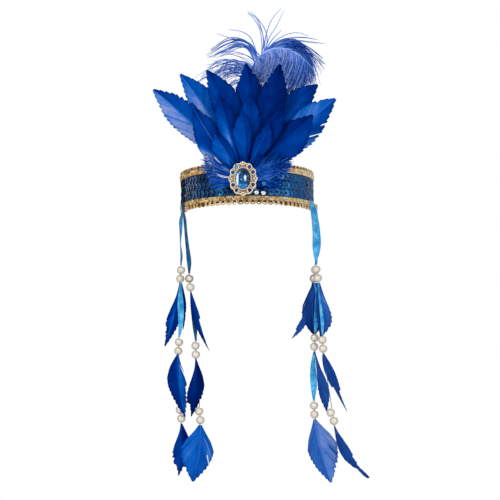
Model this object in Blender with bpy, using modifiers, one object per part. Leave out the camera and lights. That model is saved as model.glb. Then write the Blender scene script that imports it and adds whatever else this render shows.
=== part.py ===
"""Feather headband for stage wear: a sequinned band with gold braid, a fan of cut
feathers, a curled plume, an oval brooch and four hanging strands of ribbon, pearls
and feathers. Metres, +Z up. The wearer faces -Y. The origin is the middle of the ring,
level with the band's lower edge."""

import math
from collections import namedtuple

import bmesh
import bpy
import numpy as np
from mathutils import Vector

MM = 0.001
GAP = 0.3 * MM

# The ring, measured outside the braid
RING_HALF_WIDTH = 80 * MM
RING_HALF_DEPTH = 97 * MM
BAND_END_ANGLE = 101.0
ELASTIC_END_ANGLE = 95.0

# Heights of the band's parts, from the tips of the lower picots to the upper ones
LOWER_BRAID_Z = 5.0 * MM
LOWER_BRAID_TOP = 10.5 * MM
UPPER_BRAID_Z = 39.0 * MM
UPPER_BRAID_TOP = 46.0 * MM
BAND_BOTTOM = 6.0 * MM
BAND_TOP = 45.0 * MM
SEQUIN_ROW = 9.5 * MM
SEQUIN_RISE = 0.7 * MM

# Thicknesses, from the outside of the ring inwards
BRAID_THICK = 2.0 * MM
BAND_THICK = 2.0 * MM
ELASTIC_THICK = 1.6 * MM
ELASTIC_BOTTOM = 27.0 * MM
ELASTIC_TOP = 44.0 * MM
ELASTIC_STEPS = 24
EDGE_TUCK = 0.8 * MM
SEQUIN_VALLEY = 0.1 * MM

# Picots of the braid
PICOTS = 44
PICOT_HOLE_SHARE = 0.45
PICOT_CORD_SHARE = 0.38
LOWER_PICOT_DEEP = 5.0 * MM
UPPER_PICOT_DEEP = 3.5 * MM

# Brooch
BROOCH_Z = 28.0 * MM
BROOCH_BACK_Y = -106.0 * MM
BROOCH_HALF_WIDTH = 16.6 * MM
BROOCH_HALF_HEIGHT = 19.8 * MM
BROOCH_PLATE = 2.4 * MM
SCALLOPS = 12
SCALLOP_POINTS = 36
SCALLOP_DEEP = 1.5 * MM
SOLDER_DEEP = 0.5 * MM
BEZEL_WALL = 1.0 * MM
BEZEL_RISE = 2.4 * MM
BEZEL_SIDES = 18
STONE_HALF_WIDTH = 8.6 * MM
STONE_HALF_HEIGHT = 12.0 * MM
STONE_HIGH = 4.4 * MM
STONE_SIDES = 16
STONE_LEVELS = [(0.78, 0.0), (1.0, 0.28), (1.0, 0.40), (0.80, 0.78), (0.60, 1.0)]
COLLET_RADIUS = 2.3 * MM
COLLET_TOP_SHARE = 0.55
COLLET_RISE = 1.6 * MM
COLLET_SIDES = 6
PIERCING_RADIUS = 0.85 * MM
PIERCING_SIDES = 6

# Fan of feathers
FAN_BACK_Y = -98.2 * MM
QUILLS_FROM = 6 * MM
LAYER_STEP = 1.15 * MM
LAYER_SPREAD_LOW = 0.011
LAYER_SPREAD_HIGH = 0.045
LAYERS_TIGHT_TO = 20 * MM
FAN_VANE_THICK = 0.9 * MM
HANGING_VANE_THICK = 0.9 * MM
VANE_DROOP = 0.09
LEAN_BACK = 6 * MM
WRAP_BACK = 12 * MM

# Pearls and ribbon
PEARL_RADIUS = 5.0 * MM
PEARL_PITCH = 10.4 * MM
PEARL_SIDES = 10
UPPER_PEARL_TURNS = (0, 49, 98, 147)
LOWER_PEARL_TURNS = (33, 82, 131, 180)
THREAD_RADIUS = 0.6 * MM
THREAD_SIDES = 5
THREAD_IN_PEARL = 3 * MM
RIBBON_THICK = 1.0 * MM

Finish = namedtuple("Finish", "name colour roughness metallic")
FINISHES = {
    "sequin": Finish("teal_sequins", (0.01, 0.09, 0.22), 0.25, 0.6),
    "gold": Finish("gold_braid", (0.62, 0.42, 0.16), 0.45, 0.7),
    "elastic": Finish("navy_elastic", (0.01, 0.012, 0.05), 0.9, 0.0),
    "feather": Finish("royal_blue_feather", (0.005, 0.05, 0.38), 0.6, 0.0),
    "dark": Finish("navy_feather", (0.004, 0.012, 0.16), 0.6, 0.0),
    "plume": Finish("periwinkle_plume", (0.10, 0.17, 0.60), 0.8, 0.0),
    "filigree": Finish("rose_gold_filigree", (0.80, 0.60, 0.40), 0.3, 0.9),
    "stone": Finish("blue_stone", (0.0, 0.16, 0.45), 0.05, 0.0),
    "pearl": Finish("cream_pearl", (0.83, 0.77, 0.70), 0.25, 0.0),
    "cyan": Finish("cyan_satin", (0.06, 0.42, 0.72), 0.35, 0.0),
    "teal": Finish("teal_satin", (0.01, 0.12, 0.24), 0.35, 0.0),
}

# One row for each feather of the fan, in millimetres seen from the front. The layer
# counts forwards from the band. bow is how far the midrib swings to the right of the
# straight line from root to tip; left and right are the greatest half widths. Every
# quill starts behind the brooch, as far from its middle as QUILLS_FROM.
FanFeather = namedtuple("FanFeather", "name layer tip_x tip_z bow left right teeth")
FAN = [
    FanFeather("fan_back_1", 1, -104, 136, 3, 18, 18, 5),
    FanFeather("fan_back_2", 0, -73, 154, 4, 14, 18, 5),
    FanFeather("fan_back_3", 2, -42, 158, 6, 14, 19, 5),
    FanFeather("fan_back_4", 1, 4, 163, 6, 19, 17, 5),
    FanFeather("fan_back_5", 2, 44, 162, 1, 15, 20, 5),
    FanFeather("fan_back_6", 0, 86, 138, -7, 14, 19, 5),
    FanFeather("fan_back_7", 1, 108, 121, 0, 15, 20, 5),
    FanFeather("fan_middle_1", 3, -58, 117, -3, 19, 15, 4),
    FanFeather("fan_middle_2", 4, -27, 126, 0, 12, 12, 4),
    FanFeather("fan_middle_3", 3, 8, 127, 2, 13, 15, 4),
    FanFeather("fan_middle_4", 4, 49, 110, -1, 13, 13, 4),
    FanFeather("fan_middle_5", 3, 80, 102, 0, 15, 20, 4),
    FanFeather("fan_front_1", 5, -32, 80, 0, 14, 8, 3),
    FanFeather("fan_front_2", 5, 0, 106, 3, 14, 8, 3),
    FanFeather("fan_front_3", 5, 31, 91, 1, 8, 12, 3),
]

# Half width of a feather along its length, as a share of the greatest
Outline = namedtuple("Outline", "along share")
FAN_OUTLINE = [
    Outline(0.0, 0.05),
    Outline(0.13, 0.12),
    Outline(0.30, 0.46),
    Outline(0.43, 0.76),
    Outline(0.57, 0.95),
    Outline(0.68, 1.0),
    Outline(0.78, 0.86),
    Outline(0.865, 0.58),
    Outline(0.935, 0.30),
    Outline(1.0, 0.03),
]
TEETH_FROM = 0.46
TEETH_TO = 0.97
TOOTH_DEEP = 1.7 * MM
NARROWEST = 0.5 * MM
ROOT_SLIM = 0.75
RIDGE = 1.5

# The plume's quill, from the brooch up and over its curl, in millimetres
QuillPoint = namedtuple("QuillPoint", "x y z half_width")
PLUME_QUILL = [
    QuillPoint(4.5, -97.8, 42, 1.1),
    QuillPoint(5.0, -97.8, 52, 1.1),
    QuillPoint(6.0, -94.3, 70, 1.5),
    QuillPoint(7.5, -89.0, 100, 1.5),
    QuillPoint(8.5, -85.5, 130, 1.5),
    QuillPoint(11, -83.5, 160, 1.5),
    QuillPoint(16, -83.0, 172, 1.4),
    QuillPoint(26, -83.0, 181, 1.4),
    QuillPoint(38, -83.0, 185, 1.3),
    QuillPoint(52, -83.0, 184, 1.2),
    QuillPoint(66, -82.0, 176, 1.1),
    QuillPoint(78, -81.0, 165, 1.0),
    QuillPoint(85, -80.0, 152, 0.9),
]
PLUME_STATIONS = 44
STEM_HALF_DEPTH = 0.6 * MM
STEM_TOP = 57 * MM
LOCK_BEND_AT = 0.45
LOCK_BEND_OUT = 4 * MM

# A lock narrows over its steps: shares of its half width and of its half thickness
LockStep = namedtuple("LockStep", "wide thin")
LOCK_HALF_THICK = 1.0 * MM
LOCK_STEPS = [LockStep(1.0, 1.0), LockStep(0.75, 0.8), LockStep(0.18, 0.35)]

# One row for each lock of barbs: where it leaves the quill (0 to 1), its side, its tip
# in millimetres, how high it arches over the straight line, and its half width there
Lock = namedtuple("Lock", "along side tip_x tip_y tip_z arch half_width")
PLUME_LOCKS = [
    Lock(0.40, "outer", -16, -80, 137, 14, 2.6),
    Lock(0.44, "outer", -42, -72, 141, 22, 2.6),
    Lock(0.48, "outer", -50, -84, 149, 24, 2.6),
    Lock(0.51, "outer", -46, -66, 156, 24, 2.4),
    Lock(0.54, "outer", -46, -82, 165, 24, 2.6),
    Lock(0.57, "outer", -41, -70, 172, 22, 2.4),
    Lock(0.595, "outer", -39, -86, 180, 22, 2.4),
    Lock(0.62, "outer", -34, -76, 188, 18, 2.2),
    Lock(0.64, "outer", -17, -84, 206, 12, 1.6),
    Lock(0.66, "outer", 7, -82, 228, 8, 2.0),
    Lock(0.69, "outer", 47, -82, 230, 6, 1.8),
    Lock(0.72, "outer", 62, -74, 200, 16, 2.4),
    Lock(0.745, "outer", 78, -88, 198, 14, 2.4),
    Lock(0.77, "outer", 90, -78, 191, 14, 2.4),
    Lock(0.80, "outer", 93, -66, 176, 14, 2.4),
    Lock(0.83, "outer", 96, -86, 168, 10, 2.4),
    Lock(0.87, "outer", 94, -74, 158, 8, 2.2),
    Lock(0.92, "outer", 91, -84, 148, 5, 2.0),
    Lock(0.64, "inner", 24, -80, 141, 2, 2.6),
    Lock(0.69, "inner", 34, -82, 139, 3, 2.6),
    Lock(0.74, "inner", 46, -78, 134, 4, 2.6),
    Lock(0.79, "inner", 57, -84, 131, 4, 2.6),
    Lock(0.84, "inner", 66, -76, 133, 3, 2.4),
    Lock(0.89, "inner", 74, -82, 137, 2, 2.2),
    Lock(0.95, "inner", 81, -78, 139, 1, 2.0),
]

# Pairs of pearls: the middle of the pair seen from the front, and how far the lower
# pearl leans to the right. A thread reaches up to the pair above where one is needed.
STRAND_Y = {"left_outer": -26, "left_inner": -38, "right_inner": -24, "right_outer": -36}
PearlPair = namedtuple("PearlPair", "strand pair x z lean thread")
PEARLS = [
    PearlPair("left_outer", 1, -78.8, -73.7, -5, False),
    PearlPair("left_outer", 2, -81.8, -159.3, -5, False),
    PearlPair("left_outer", 3, -80.1, -239.0, 9, True),
    PearlPair("left_inner", 1, -67.2, -85.0, 7, False),
    PearlPair("left_inner", 2, -60.9, -164.4, 2, False),
    PearlPair("left_inner", 3, -56.7, -241.3, 7, True),
    PearlPair("right_inner", 1, 79.6, -75.5, -9, False),
    PearlPair("right_inner", 2, 78.5, -156.1, -3, False),
    PearlPair("right_inner", 3, 77.2, -235.8, 2, False),
    PearlPair("right_outer", 1, 82.8, -76.0, 9, False),
    PearlPair("right_outer", 2, 88.3, -159.3, 4, False),
    PearlPair("right_outer", 3, 98.3, -244.2, 21, True),
]

# Ribbons: a row for each turn of the strip, in millimetres. turn is the angle of its
# width from the X axis, so 0 faces the front and 90 shows its edge. behind is added
# to the strand's own depth. The first ribbon of each strand starts flat on the braid.
Turn = namedtuple("Turn", "x behind z half_width turn")
RIBBON_SEWN = [(12.0, 3.6), (0.5, 3.8)]
RIBBONS = {
    ("left_outer", 1, "teal"): [
        Turn(-78.2, 0, -8.0, 4.0, -58),
        Turn(-78.2, 0, -22.0, 4.0, -66),
        Turn(-78.6, 0, -36.0, 4.0, -79),
        Turn(-77.8, 0, -52.0, 3.6, -62),
        Turn(-78.3, 0, -63.0, 1.1, -55),
    ],
    ("left_inner", 1, "teal"): [
        Turn(-73.0, 0, -9.0, 4.0, -64),
        Turn(-71.5, 0, -24.0, 4.0, -66),
        Turn(-69.6, 0, -42.0, 4.0, -56),
        Turn(-67.9, 0, -61.0, 3.9, -42),
        Turn(-67.7, 0, -74.3, 1.1, -40),
    ],
    ("right_inner", 1, "cyan"): [
        Turn(82.0, 0, -9.0, 4.0, 50),
        Turn(84.2, 0, -27.0, 4.0, 40),
        Turn(84.4, 0, -45.0, 3.9, 52),
        Turn(80.5, 0, -64.8, 1.1, 60),
    ],
    ("right_outer", 1, "cyan"): [
        Turn(79.0, 0, -9.0, 4.0, 30),
        Turn(80.6, 0, -27.0, 4.0, 14),
        Turn(81.8, 0, -48.0, 3.8, 20),
        Turn(82.1, 0, -65.3, 1.1, 40),
    ],
    ("left_outer", 2, "cyan"): [
        Turn(-79.2, -1.0, -84.3, 0.9, 10),
        Turn(-79.2, -1.4, -104.0, 3.3, 8),
        Turn(-78.8, -1.4, -122.0, 3.6, -8),
        Turn(-79.4, -1.4, -137.0, 2.6, -14),
        Turn(-81.2, -1.0, -148.6, 0.9, -20),
    ],
    ("left_inner", 2, "teal"): [
        Turn(-66.3, 1.0, -95.7, 0.9, 20),
        Turn(-64.2, 1.6, -117.0, 2.6, 30),
        Turn(-61.8, 1.6, -136.0, 3.0, 30),
        Turn(-60.7, 0.6, -153.8, 0.9, 20),
    ],
    ("right_inner", 2, "cyan"): [
        Turn(79.4, 0.0, -86.4, 0.9, 0),
        Turn(81.2, -1.2, -106.0, 2.2, 10),
        Turn(80.6, -1.2, -127.0, 3.0, 14),
        Turn(79.0, 0.0, -145.4, 0.9, 10),
    ],
    ("right_outer", 2, "cyan"): [
        Turn(84.2, -0.4, -86.9, 0.9, 0),
        Turn(85.3, -1.4, -107.0, 2.2, -10),
        Turn(87.4, -1.4, -128.0, 2.9, -14),
        Turn(88.2, -0.4, -148.6, 0.9, -10),
    ],
    ("right_inner", 3, "cyan"): [
        Turn(78.0, 1.2, -167.0, 0.9, 0),
        Turn(75.8, 0.8, -188.0, 3.2, 12),
        Turn(75.8, 0.8, -207.0, 3.4, -8),
        Turn(76.9, 0.8, -225.2, 0.9, 0),
    ],
}

# Feathers of the strands: the pair of pearls each hangs from, its top and tip in
# millimetres seen from the front, how far it lies behind the strand's own depth, the
# midrib's bow to the right of the picture, the greatest half widths, and the turn of
# the blade about its own length
HangingFeather = namedtuple(
    "HangingFeather", "strand number pair top_x tip_x tip_z behind bow left right turn teeth finish"
)
HANGING = [
    HangingFeather("left_outer", 1, 1, -80.2, -98.6, -158.4, 4.8, 3, 10, 8, 12, 3, "feather"),
    HangingFeather("left_outer", 2, 1, -77.8, -76.6, -139.0, 1.6, 2, 3, 4, 20, 2, "dark"),
    HangingFeather("left_outer", 3, 2, -82.4, -74.4, -242.3, -6.4, -3, 14, 8, -6, 3, "feather"),
    HangingFeather("left_outer", 4, 3, -79.4, -83.1, -310.7, 0.4, 2, 9, 11, 10, 4, "dark"),
    HangingFeather("left_inner", 1, 1, -66.0, -44.7, -165.3, -2.0, -3, 4, 5, -20, 3, "feather"),
    HangingFeather("left_inner", 2, 2, -60.7, -66.7, -242.1, -3.4, 3, 9, 11, 12, 4, "dark"),
    HangingFeather("left_inner", 3, 3, -56.0, -65.2, -317.8, 0.0, 3, 21, 17, -8, 5, "feather"),
    HangingFeather("right_inner", 1, 1, 78.6, 71.6, -143.0, 2.6, -3, 9, 7, 10, 4, "dark"),
    HangingFeather("right_inner", 2, 1, 76.9, 51.6, -150.9, 6.4, 3, 4, 5, 14, 3, "feather"),
    HangingFeather("right_inner", 3, 2, 78.6, 91.6, -237.8, -2.4, -1, 6, 8, -18, 4, "feather"),
    HangingFeather("right_inner", 4, 3, 77.3, 95.6, -320.6, 0.0, -2, 16, 20, 8, 5, "feather"),
    HangingFeather("right_outer", 1, 1, 84.4, 90.0, -149.0, 1.8, 5, 5, 9, -16, 4, "feather"),
    HangingFeather("right_outer", 2, 2, 88.8, 115.6, -238.4, -3.0, -2, 5, 4, 24, 3, "dark"),
    HangingFeather("right_outer", 3, 3, 100.5, 139.9, -315.8, 0.0, -6, 5, 6, -26, 4, "dark"),
]
TOP_SHARE = 0.55
FEATHER_SEAT = 0.45 * MM
HANGING_OUTLINE = [
    Outline(0.0, 0.08),
    Outline(0.12, 0.34),
    Outline(0.28, 0.74),
    Outline(0.44, 1.0),
    Outline(0.58, 0.96),
    Outline(0.72, 0.76),
    Outline(0.86, 0.45),
    Outline(1.0, 0.04),
]


def clear_scene():
    for obj in list(bpy.data.objects):
        bpy.data.objects.remove(obj, do_unlink=True)


def make_collection(name):
    group = bpy.data.collections.new(name)
    bpy.context.scene.collection.children.link(group)
    return group


def make_material(finish):
    material = bpy.data.materials.new(finish.name)
    material.use_nodes = True
    shader = material.node_tree.nodes["Principled BSDF"]
    shader.inputs["Base Color"].default_value = (*finish.colour, 1.0)
    shader.inputs["Roughness"].default_value = finish.roughness
    shader.inputs["Metallic"].default_value = finish.metallic
    return material


def add_object(name, bm, finish, smooth=False):
    """Turn a bmesh into a named part with its own material."""
    bmesh.ops.recalc_face_normals(bm, faces=bm.faces)
    mesh = bpy.data.meshes.new(name)
    bm.to_mesh(mesh)
    bm.free()
    if smooth:
        mesh.shade_smooth()
        mesh.set_sharp_from_angle(angle=math.radians(50))
    mesh.materials.append(materials[finish])
    obj = bpy.data.objects.new(name, mesh)
    parts.objects.link(obj)
    return obj


def loft(rings):
    """A closed solid through rings of points, each ring with the same count."""
    bm = bmesh.new()
    rows = [[bm.verts.new(point) for point in ring] for ring in rings]
    count = len(rows[0])
    for low, high in zip(rows, rows[1:]):
        for i in range(count):
            j = (i + 1) % count
            bm.faces.new((low[i], low[j], high[j], high[i]))
    bm.faces.new(rows[0][::-1])
    bm.faces.new(rows[-1])
    return bm


def arc_table(steps=720):
    """Arc lengths from the front of the ring, and the angles they belong to."""
    angles = np.linspace(0.0, math.pi, steps + 1)
    x = RING_HALF_WIDTH * np.sin(angles)
    y = -RING_HALF_DEPTH * np.cos(angles)
    lengths = np.concatenate([[0.0], np.cumsum(np.hypot(np.diff(x), np.diff(y)))])
    return lengths, angles


ARC_LENGTHS, ARC_ANGLES = arc_table()


def ring_point(angle, out, z):
    """A point at an angle from the front (radians, right is +), out from the braid."""
    normal = Vector((math.sin(angle) / RING_HALF_WIDTH, -math.cos(angle) / RING_HALF_DEPTH, 0.0))
    place = Vector((RING_HALF_WIDTH * math.sin(angle), -RING_HALF_DEPTH * math.cos(angle), z))
    return place + normal.normalized() * out


def angle_along(length):
    """The ring's angle at a length along the braid from its front."""
    angle = float(np.interp(abs(length), ARC_LENGTHS, ARC_ANGLES))
    return math.copysign(angle, length)


def length_to(angle):
    return float(np.interp(angle, ARC_ANGLES, ARC_LENGTHS))


def make_band():
    """The sequinned cloth: a wall with three shallow swells, one for each row."""
    outside = -BRAID_THICK - GAP
    inside = outside - BAND_THICK
    middle = (LOWER_BRAID_TOP + UPPER_BRAID_Z) / 2
    tucked = outside - EDGE_TUCK
    section = [(inside, BAND_TOP), (inside, BAND_BOTTOM), (tucked, BAND_BOTTOM)]
    for row in (-1, 0, 1):
        section.append((outside + SEQUIN_RISE, middle + row * SEQUIN_ROW))
        if row < 1:
            section.append((outside - SEQUIN_VALLEY, middle + (row + 0.5) * SEQUIN_ROW))
    section.append((tucked, BAND_TOP))
    end = length_to(math.radians(BAND_END_ANGLE))
    rings = []
    for i in range(PICOTS + 1):
        angle = angle_along(end * (2 * i / PICOTS - 1))
        rings.append([ring_point(angle, out, z) for out, z in section])
    return add_object("sequin_band", loft(rings), "sequin", smooth=True)


def make_elastic():
    """The plain elastic that closes the ring, its ends sewn inside the band."""
    outside = -BRAID_THICK - BAND_THICK - 2 * GAP
    inside = outside - ELASTIC_THICK
    section = [(inside, ELASTIC_TOP), (inside, ELASTIC_BOTTOM)]
    section += [(outside, ELASTIC_BOTTOM), (outside, ELASTIC_TOP)]
    start = length_to(math.radians(ELASTIC_END_ANGLE))
    whole = 2 * ARC_LENGTHS[-1]
    rings = []
    for i in range(ELASTIC_STEPS + 1):
        length = start + (whole - 2 * start) * i / ELASTIC_STEPS
        angle = angle_along(length if length <= whole / 2 else length - whole)
        rings.append([ring_point(angle, out, z) for out, z in section])
    return add_object("back_elastic", loft(rings), "elastic", smooth=True)


def sheet_solid(points, faces, place):
    """A sheet with holes: flat faces, given a front and a back and walls round every edge."""
    bm = bmesh.new()
    front = [bm.verts.new(place(point, 0.0)) for point in points]
    back = [bm.verts.new(place(point, -BRAID_THICK)) for point in points]
    edges = set()
    for face in faces:
        bm.faces.new([front[i] for i in face])
        bm.faces.new([back[i] for i in reversed(face)])
        edges.update(zip(face, face[1:] + face[:1]))
    for a, b in edges:
        if (b, a) not in edges:
            bm.faces.new((front[b], front[a], back[a], back[b]))
    return bm


def make_braid(name, near, far, picot_deep, picot_points):
    """A strip of braid with a row of picot loops along its far edge.

    near and far are the heights of the braid's plain edge and its looped edge. The
    picot points are where a loop turns, as shares of its half width."""
    end = length_to(math.radians(BAND_END_ANGLE))
    pitch = 2 * end / PICOTS
    way = math.copysign(1.0, far - near)
    points = []
    index = {}

    def at(along, z):
        key = (round(along, 7), round(z, 7))
        if key not in index:
            index[key] = len(points)
            points.append(key)
        return index[key]

    faces = []
    for cell in range(PICOTS):
        middle = -end + (cell + 0.5) * pitch
        half = pitch / 2
        hole = half * PICOT_HOLE_SHARE
        edge = [at(middle + offset, far) for offset in (-half, -hole, hole, half)]
        faces.append([at(middle - half, near)] + edge + [at(middle + half, near)])
        outer = [edge[0]]
        inner = [edge[1]]
        for share in picot_points:
            outer.append(at(middle + share * half, far + way * picot_deep))
            inner.append(at(middle + share * hole, far + way * picot_deep * (1 - PICOT_CORD_SHARE)))
        outer.append(edge[3])
        inner.append(edge[2])
        for i in range(len(outer) - 1):
            faces.append([outer[i], outer[i + 1], inner[i + 1], inner[i]])

    def place(point, out):
        return ring_point(angle_along(point[0]), out, point[1])

    return add_object(name, sheet_solid(points, faces, place), "gold")


def share_at(outline, along):
    return float(np.interp(along, [row.along for row in outline], [row.share for row in outline]))


def blade_stations(teeth, outline):
    """Places along a blade and its left and right shares, with the cut teeth."""
    rows = [(row.along, row.share, row.share) for row in outline if row.along < TEETH_FROM]
    cuts = 2 * teeth + 1
    for i in range(cuts):
        along = TEETH_FROM + (TEETH_TO - TEETH_FROM) * i / (cuts - 1)
        rows.append((along, share_at(outline, along), share_at(outline, along)))
    first = len(rows) - cuts
    return rows + [(1.0, outline[-1].share, outline[-1].share)], first


def blade_rings(mid_at, side_at, face_at, left, right, teeth, outline, thick, drop, thick_edge):
    """Rings of a feather: a ridge along the midrib and drooping vanes, thick or sharp edged."""
    stations, first = blade_stations(teeth, outline)
    rings = []
    for i, (along, left_share, right_share) in enumerate(stations):
        cut = TOOTH_DEEP if first <= i < len(stations) - 1 else 0.0
        wide_left = left * left_share - (cut if i % 2 else 0.0)
        wide_right = right * right_share - (0.0 if i % 2 else cut)
        wide_left = max(wide_left, NARROWEST)
        wide_right = max(wide_right, NARROWEST)
        middle, side, face = mid_at(along), side_at(along), face_at(along)
        half = thick * min(1.0, ROOT_SLIM + along) / 2
        ridge = half * (RIDGE if along < TEETH_TO else 1.0)
        left_edge = middle - side * wide_left - face * drop * wide_left
        right_edge = middle + side * wide_right - face * drop * wide_right
        ring = [left_edge, middle + face * ridge, right_edge, middle - face * half]
        if thick_edge:
            ring = [left_edge + face * half, ring[1], right_edge + face * half]
            ring += [right_edge - face * half, middle - face * half, left_edge - face * half]
        rings.append(ring)
    return rings


def layer_depth(layer, x, z):
    """How far forward a layer of the fan lies at a place seen from the front."""
    from_brooch = math.hypot(x, z - BROOCH_Z)
    spread = LAYER_SPREAD_LOW * from_brooch
    spread += LAYER_SPREAD_HIGH * max(0.0, from_brooch - LAYERS_TIGHT_TO)
    spacing = LAYER_STEP + spread
    back = WRAP_BACK * (x / 0.1) ** 2 + LEAN_BACK * (from_brooch / 0.1) ** 2
    return FAN_BACK_Y - layer * spacing + back


def make_fan_feather(row):
    middle = Vector((0, 0, BROOCH_Z))
    tip = Vector((row.tip_x, 0, row.tip_z)) * MM
    way = (tip - middle).normalized()
    root = middle + way * QUILLS_FROM
    right_hand = Vector((way.z, 0, -way.x))

    def mid_at(along):
        flat = root.lerp(tip, along) + right_hand * row.bow * MM * 4 * along * (1 - along)
        return Vector((flat.x, layer_depth(row.layer, flat.x, flat.z), flat.z))

    def side_at(along):
        step = mid_at(min(1.0, along + 0.02)) - mid_at(max(0.0, along - 0.02))
        return Vector((step.z, 0, -step.x)).normalized()

    def face_at(along):
        return Vector((0, -1, 0))

    rings = blade_rings(
        mid_at,
        side_at,
        face_at,
        row.left * MM,
        row.right * MM,
        row.teeth,
        FAN_OUTLINE,
        FAN_VANE_THICK,
        VANE_DROOP,
        True,
    )
    return add_object(row.name, loft(rings), "feather", smooth=True)


def make_hanging_feather(row):
    deep = (STRAND_Y[row.strand] + row.behind) * MM
    pearl = pearl_axis(next(p for p in PEARLS if p.strand == row.strand and p.pair == row.pair))[1]
    top = Vector((row.top_x * MM, pearl.y + row.behind * TOP_SHARE * MM, pearl.z))
    aside = math.hypot(top.x - pearl.x, top.y - pearl.y)
    top.z -= math.sqrt((PEARL_RADIUS + FEATHER_SEAT) ** 2 - aside**2)
    tip = Vector((row.tip_x * MM, deep, row.tip_z * MM))
    way = (tip - top).normalized()
    across = way.cross(Vector((0, -1, 0))).normalized()
    if across.x < 0:
        across = -across
    face = across.cross(way).normalized()
    if face.y > 0:
        face = -face
    turn = math.radians(row.turn)
    side = across * math.cos(turn) + face * math.sin(turn)
    front = face * math.cos(turn) - across * math.sin(turn)

    def mid_at(along):
        swing = 4 * along * (1 - along)
        settle = min(1.0, along / 0.2)
        point = top.lerp(tip, along) + across * row.bow * MM * swing
        point.y = top.y + (deep - top.y) * settle
        return point

    rings = blade_rings(
        mid_at,
        lambda along: side,
        lambda along: front,
        row.left * MM,
        row.right * MM,
        row.teeth,
        HANGING_OUTLINE,
        HANGING_VANE_THICK,
        VANE_DROOP,
        False,
    )
    name = f"feather_{row.strand}_{row.number}"
    return add_object(name, loft(rings), row.finish, smooth=True)


def smooth_path(rows, count):
    """Even points on a smooth curve through the plume quill's rows."""
    knots = np.array([[row.x, row.y, row.z, row.half_width] for row in rows]) * MM
    gaps = np.linalg.norm(np.diff(knots[:, :3], axis=0), axis=1)
    place = np.concatenate([[0.0], np.cumsum(gaps)])
    slopes = np.gradient(knots, place, axis=0)
    found = []
    for s in np.linspace(0.0, place[-1], count):
        i = min(int(np.searchsorted(place, s, side="right")) - 1, len(rows) - 2)
        gap = place[i + 1] - place[i]
        t = (s - place[i]) / gap
        found.append(
            (2 * t**3 - 3 * t**2 + 1) * knots[i]
            + (t**3 - 2 * t**2 + t) * gap * slopes[i]
            + (3 * t**2 - 2 * t**3) * knots[i + 1]
            + (t**3 - t**2) * gap * slopes[i + 1]
        )
    return [(Vector(row[:3]), float(row[3])) for row in found]


def grow_lock(bm, face, row, root, side):
    """Pull one face of the quill out into a tapering lock of barbs."""
    tip = Vector((row.tip_x, row.tip_y, row.tip_z)) * MM
    bend = root.lerp(tip, LOCK_BEND_AT) + Vector((0, 0, row.arch * MM)) + side * LOCK_BEND_OUT
    current = face
    corners = [vert.co - root for vert in current.verts]
    start = root
    for i, step in enumerate(LOCK_STEPS):
        t = (i + 1) / len(LOCK_STEPS)
        centre = root * (1 - t) ** 2 + bend * 2 * t * (1 - t) + tip * t**2
        way = (centre - start).normalized()
        across = way.cross(Vector((0, 1, 0))).normalized()
        half = row.half_width * MM * step.wide
        thin = LOCK_HALF_THICK * step.thin
        grown = bmesh.ops.extrude_discrete_faces(bm, faces=[current])["faces"][0]
        for vert, corner in zip(grown.verts, corners):
            sign_across = math.copysign(1.0, corner.dot(across))
            sign_deep = math.copysign(1.0, corner.y)
            vert.co = centre + across * half * sign_across + Vector((0, thin * sign_deep, 0))
        current = grown
        corners = [vert.co - centre for vert in current.verts]
        start = centre


def make_plume():
    """The curled plume: a square quill with its locks of barbs pulled out of its sides."""
    path = smooth_path(PLUME_QUILL, PLUME_STATIONS)
    bm = bmesh.new()
    rows = []
    for i, (centre, half) in enumerate(path):
        step = path[min(i + 1, len(path) - 1)][0] - path[max(i - 1, 0)][0]
        outer = Vector((-step.z, 0, step.x)).normalized()
        deep = Vector((0, min(half, STEM_HALF_DEPTH) if centre.z < STEM_TOP else half, 0))
        corners = (outer * half - deep, outer * half + deep, -outer * half + deep, -outer * half - deep)
        rows.append([bm.verts.new(centre + corner) for corner in corners])
    sides = {"outer": [], "inner": []}
    for low, high in zip(rows, rows[1:]):
        for i in range(4):
            j = (i + 1) % 4
            face = bm.faces.new((low[i], low[j], high[j], high[i]))
            if i == 0:
                sides["outer"].append(face)
            if i == 2:
                sides["inner"].append(face)
    bm.faces.new(rows[0][::-1])
    bm.faces.new(rows[-1])
    bmesh.ops.recalc_face_normals(bm, faces=bm.faces)
    for row in PLUME_LOCKS:
        face = sides[row.side][round(row.along * (PLUME_STATIONS - 2))]
        root = face.calc_center_median()
        grow_lock(bm, face, row, root.copy(), face.normal.copy())
    return add_object("plume", bm, "plume")


def oval_points(half_width, half_height, count, swell=0.0, lobes=0):
    points = []
    for i in range(count):
        turn = math.tau * i / count
        grow = swell * (math.cos(lobes * turn) - 1) / 2
        wide, high = half_width + grow, half_height + grow
        points.append((wide * math.sin(turn), high * math.cos(turn)))
    return points


def flat_plate(name, outlines, depth, front_y):
    """A flat outline with holes, as thick as depth, whose front face is at front_y."""
    curve = bpy.data.curves.new(name, "CURVE")
    curve.dimensions = "2D"
    curve.fill_mode = "BOTH"
    curve.extrude = depth / 2
    for outline in outlines:
        spline = curve.splines.new("POLY")
        spline.points.add(len(outline) - 1)
        spline.use_cyclic_u = True
        for point, (x, z) in zip(spline.points, outline):
            point.co = (x, z, 0.0, 1.0)
    obj = bpy.data.objects.new(name, curve)
    obj.rotation_euler = (math.pi / 2, 0.0, 0.0)
    obj.location = (0.0, front_y + depth / 2, BROOCH_Z)
    bpy.context.scene.collection.objects.link(obj)
    bpy.context.view_layer.update()
    graph = bpy.context.evaluated_depsgraph_get()
    mesh = bpy.data.meshes.new_from_object(obj.evaluated_get(graph))
    bm = bmesh.new()
    bm.from_mesh(mesh)
    bmesh.ops.remove_doubles(bm, verts=bm.verts, dist=0.01 * MM)
    bmesh.ops.transform(bm, matrix=obj.matrix_world, verts=bm.verts)
    bpy.data.objects.remove(obj, do_unlink=True)
    bpy.data.meshes.remove(mesh)
    return bm


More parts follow.
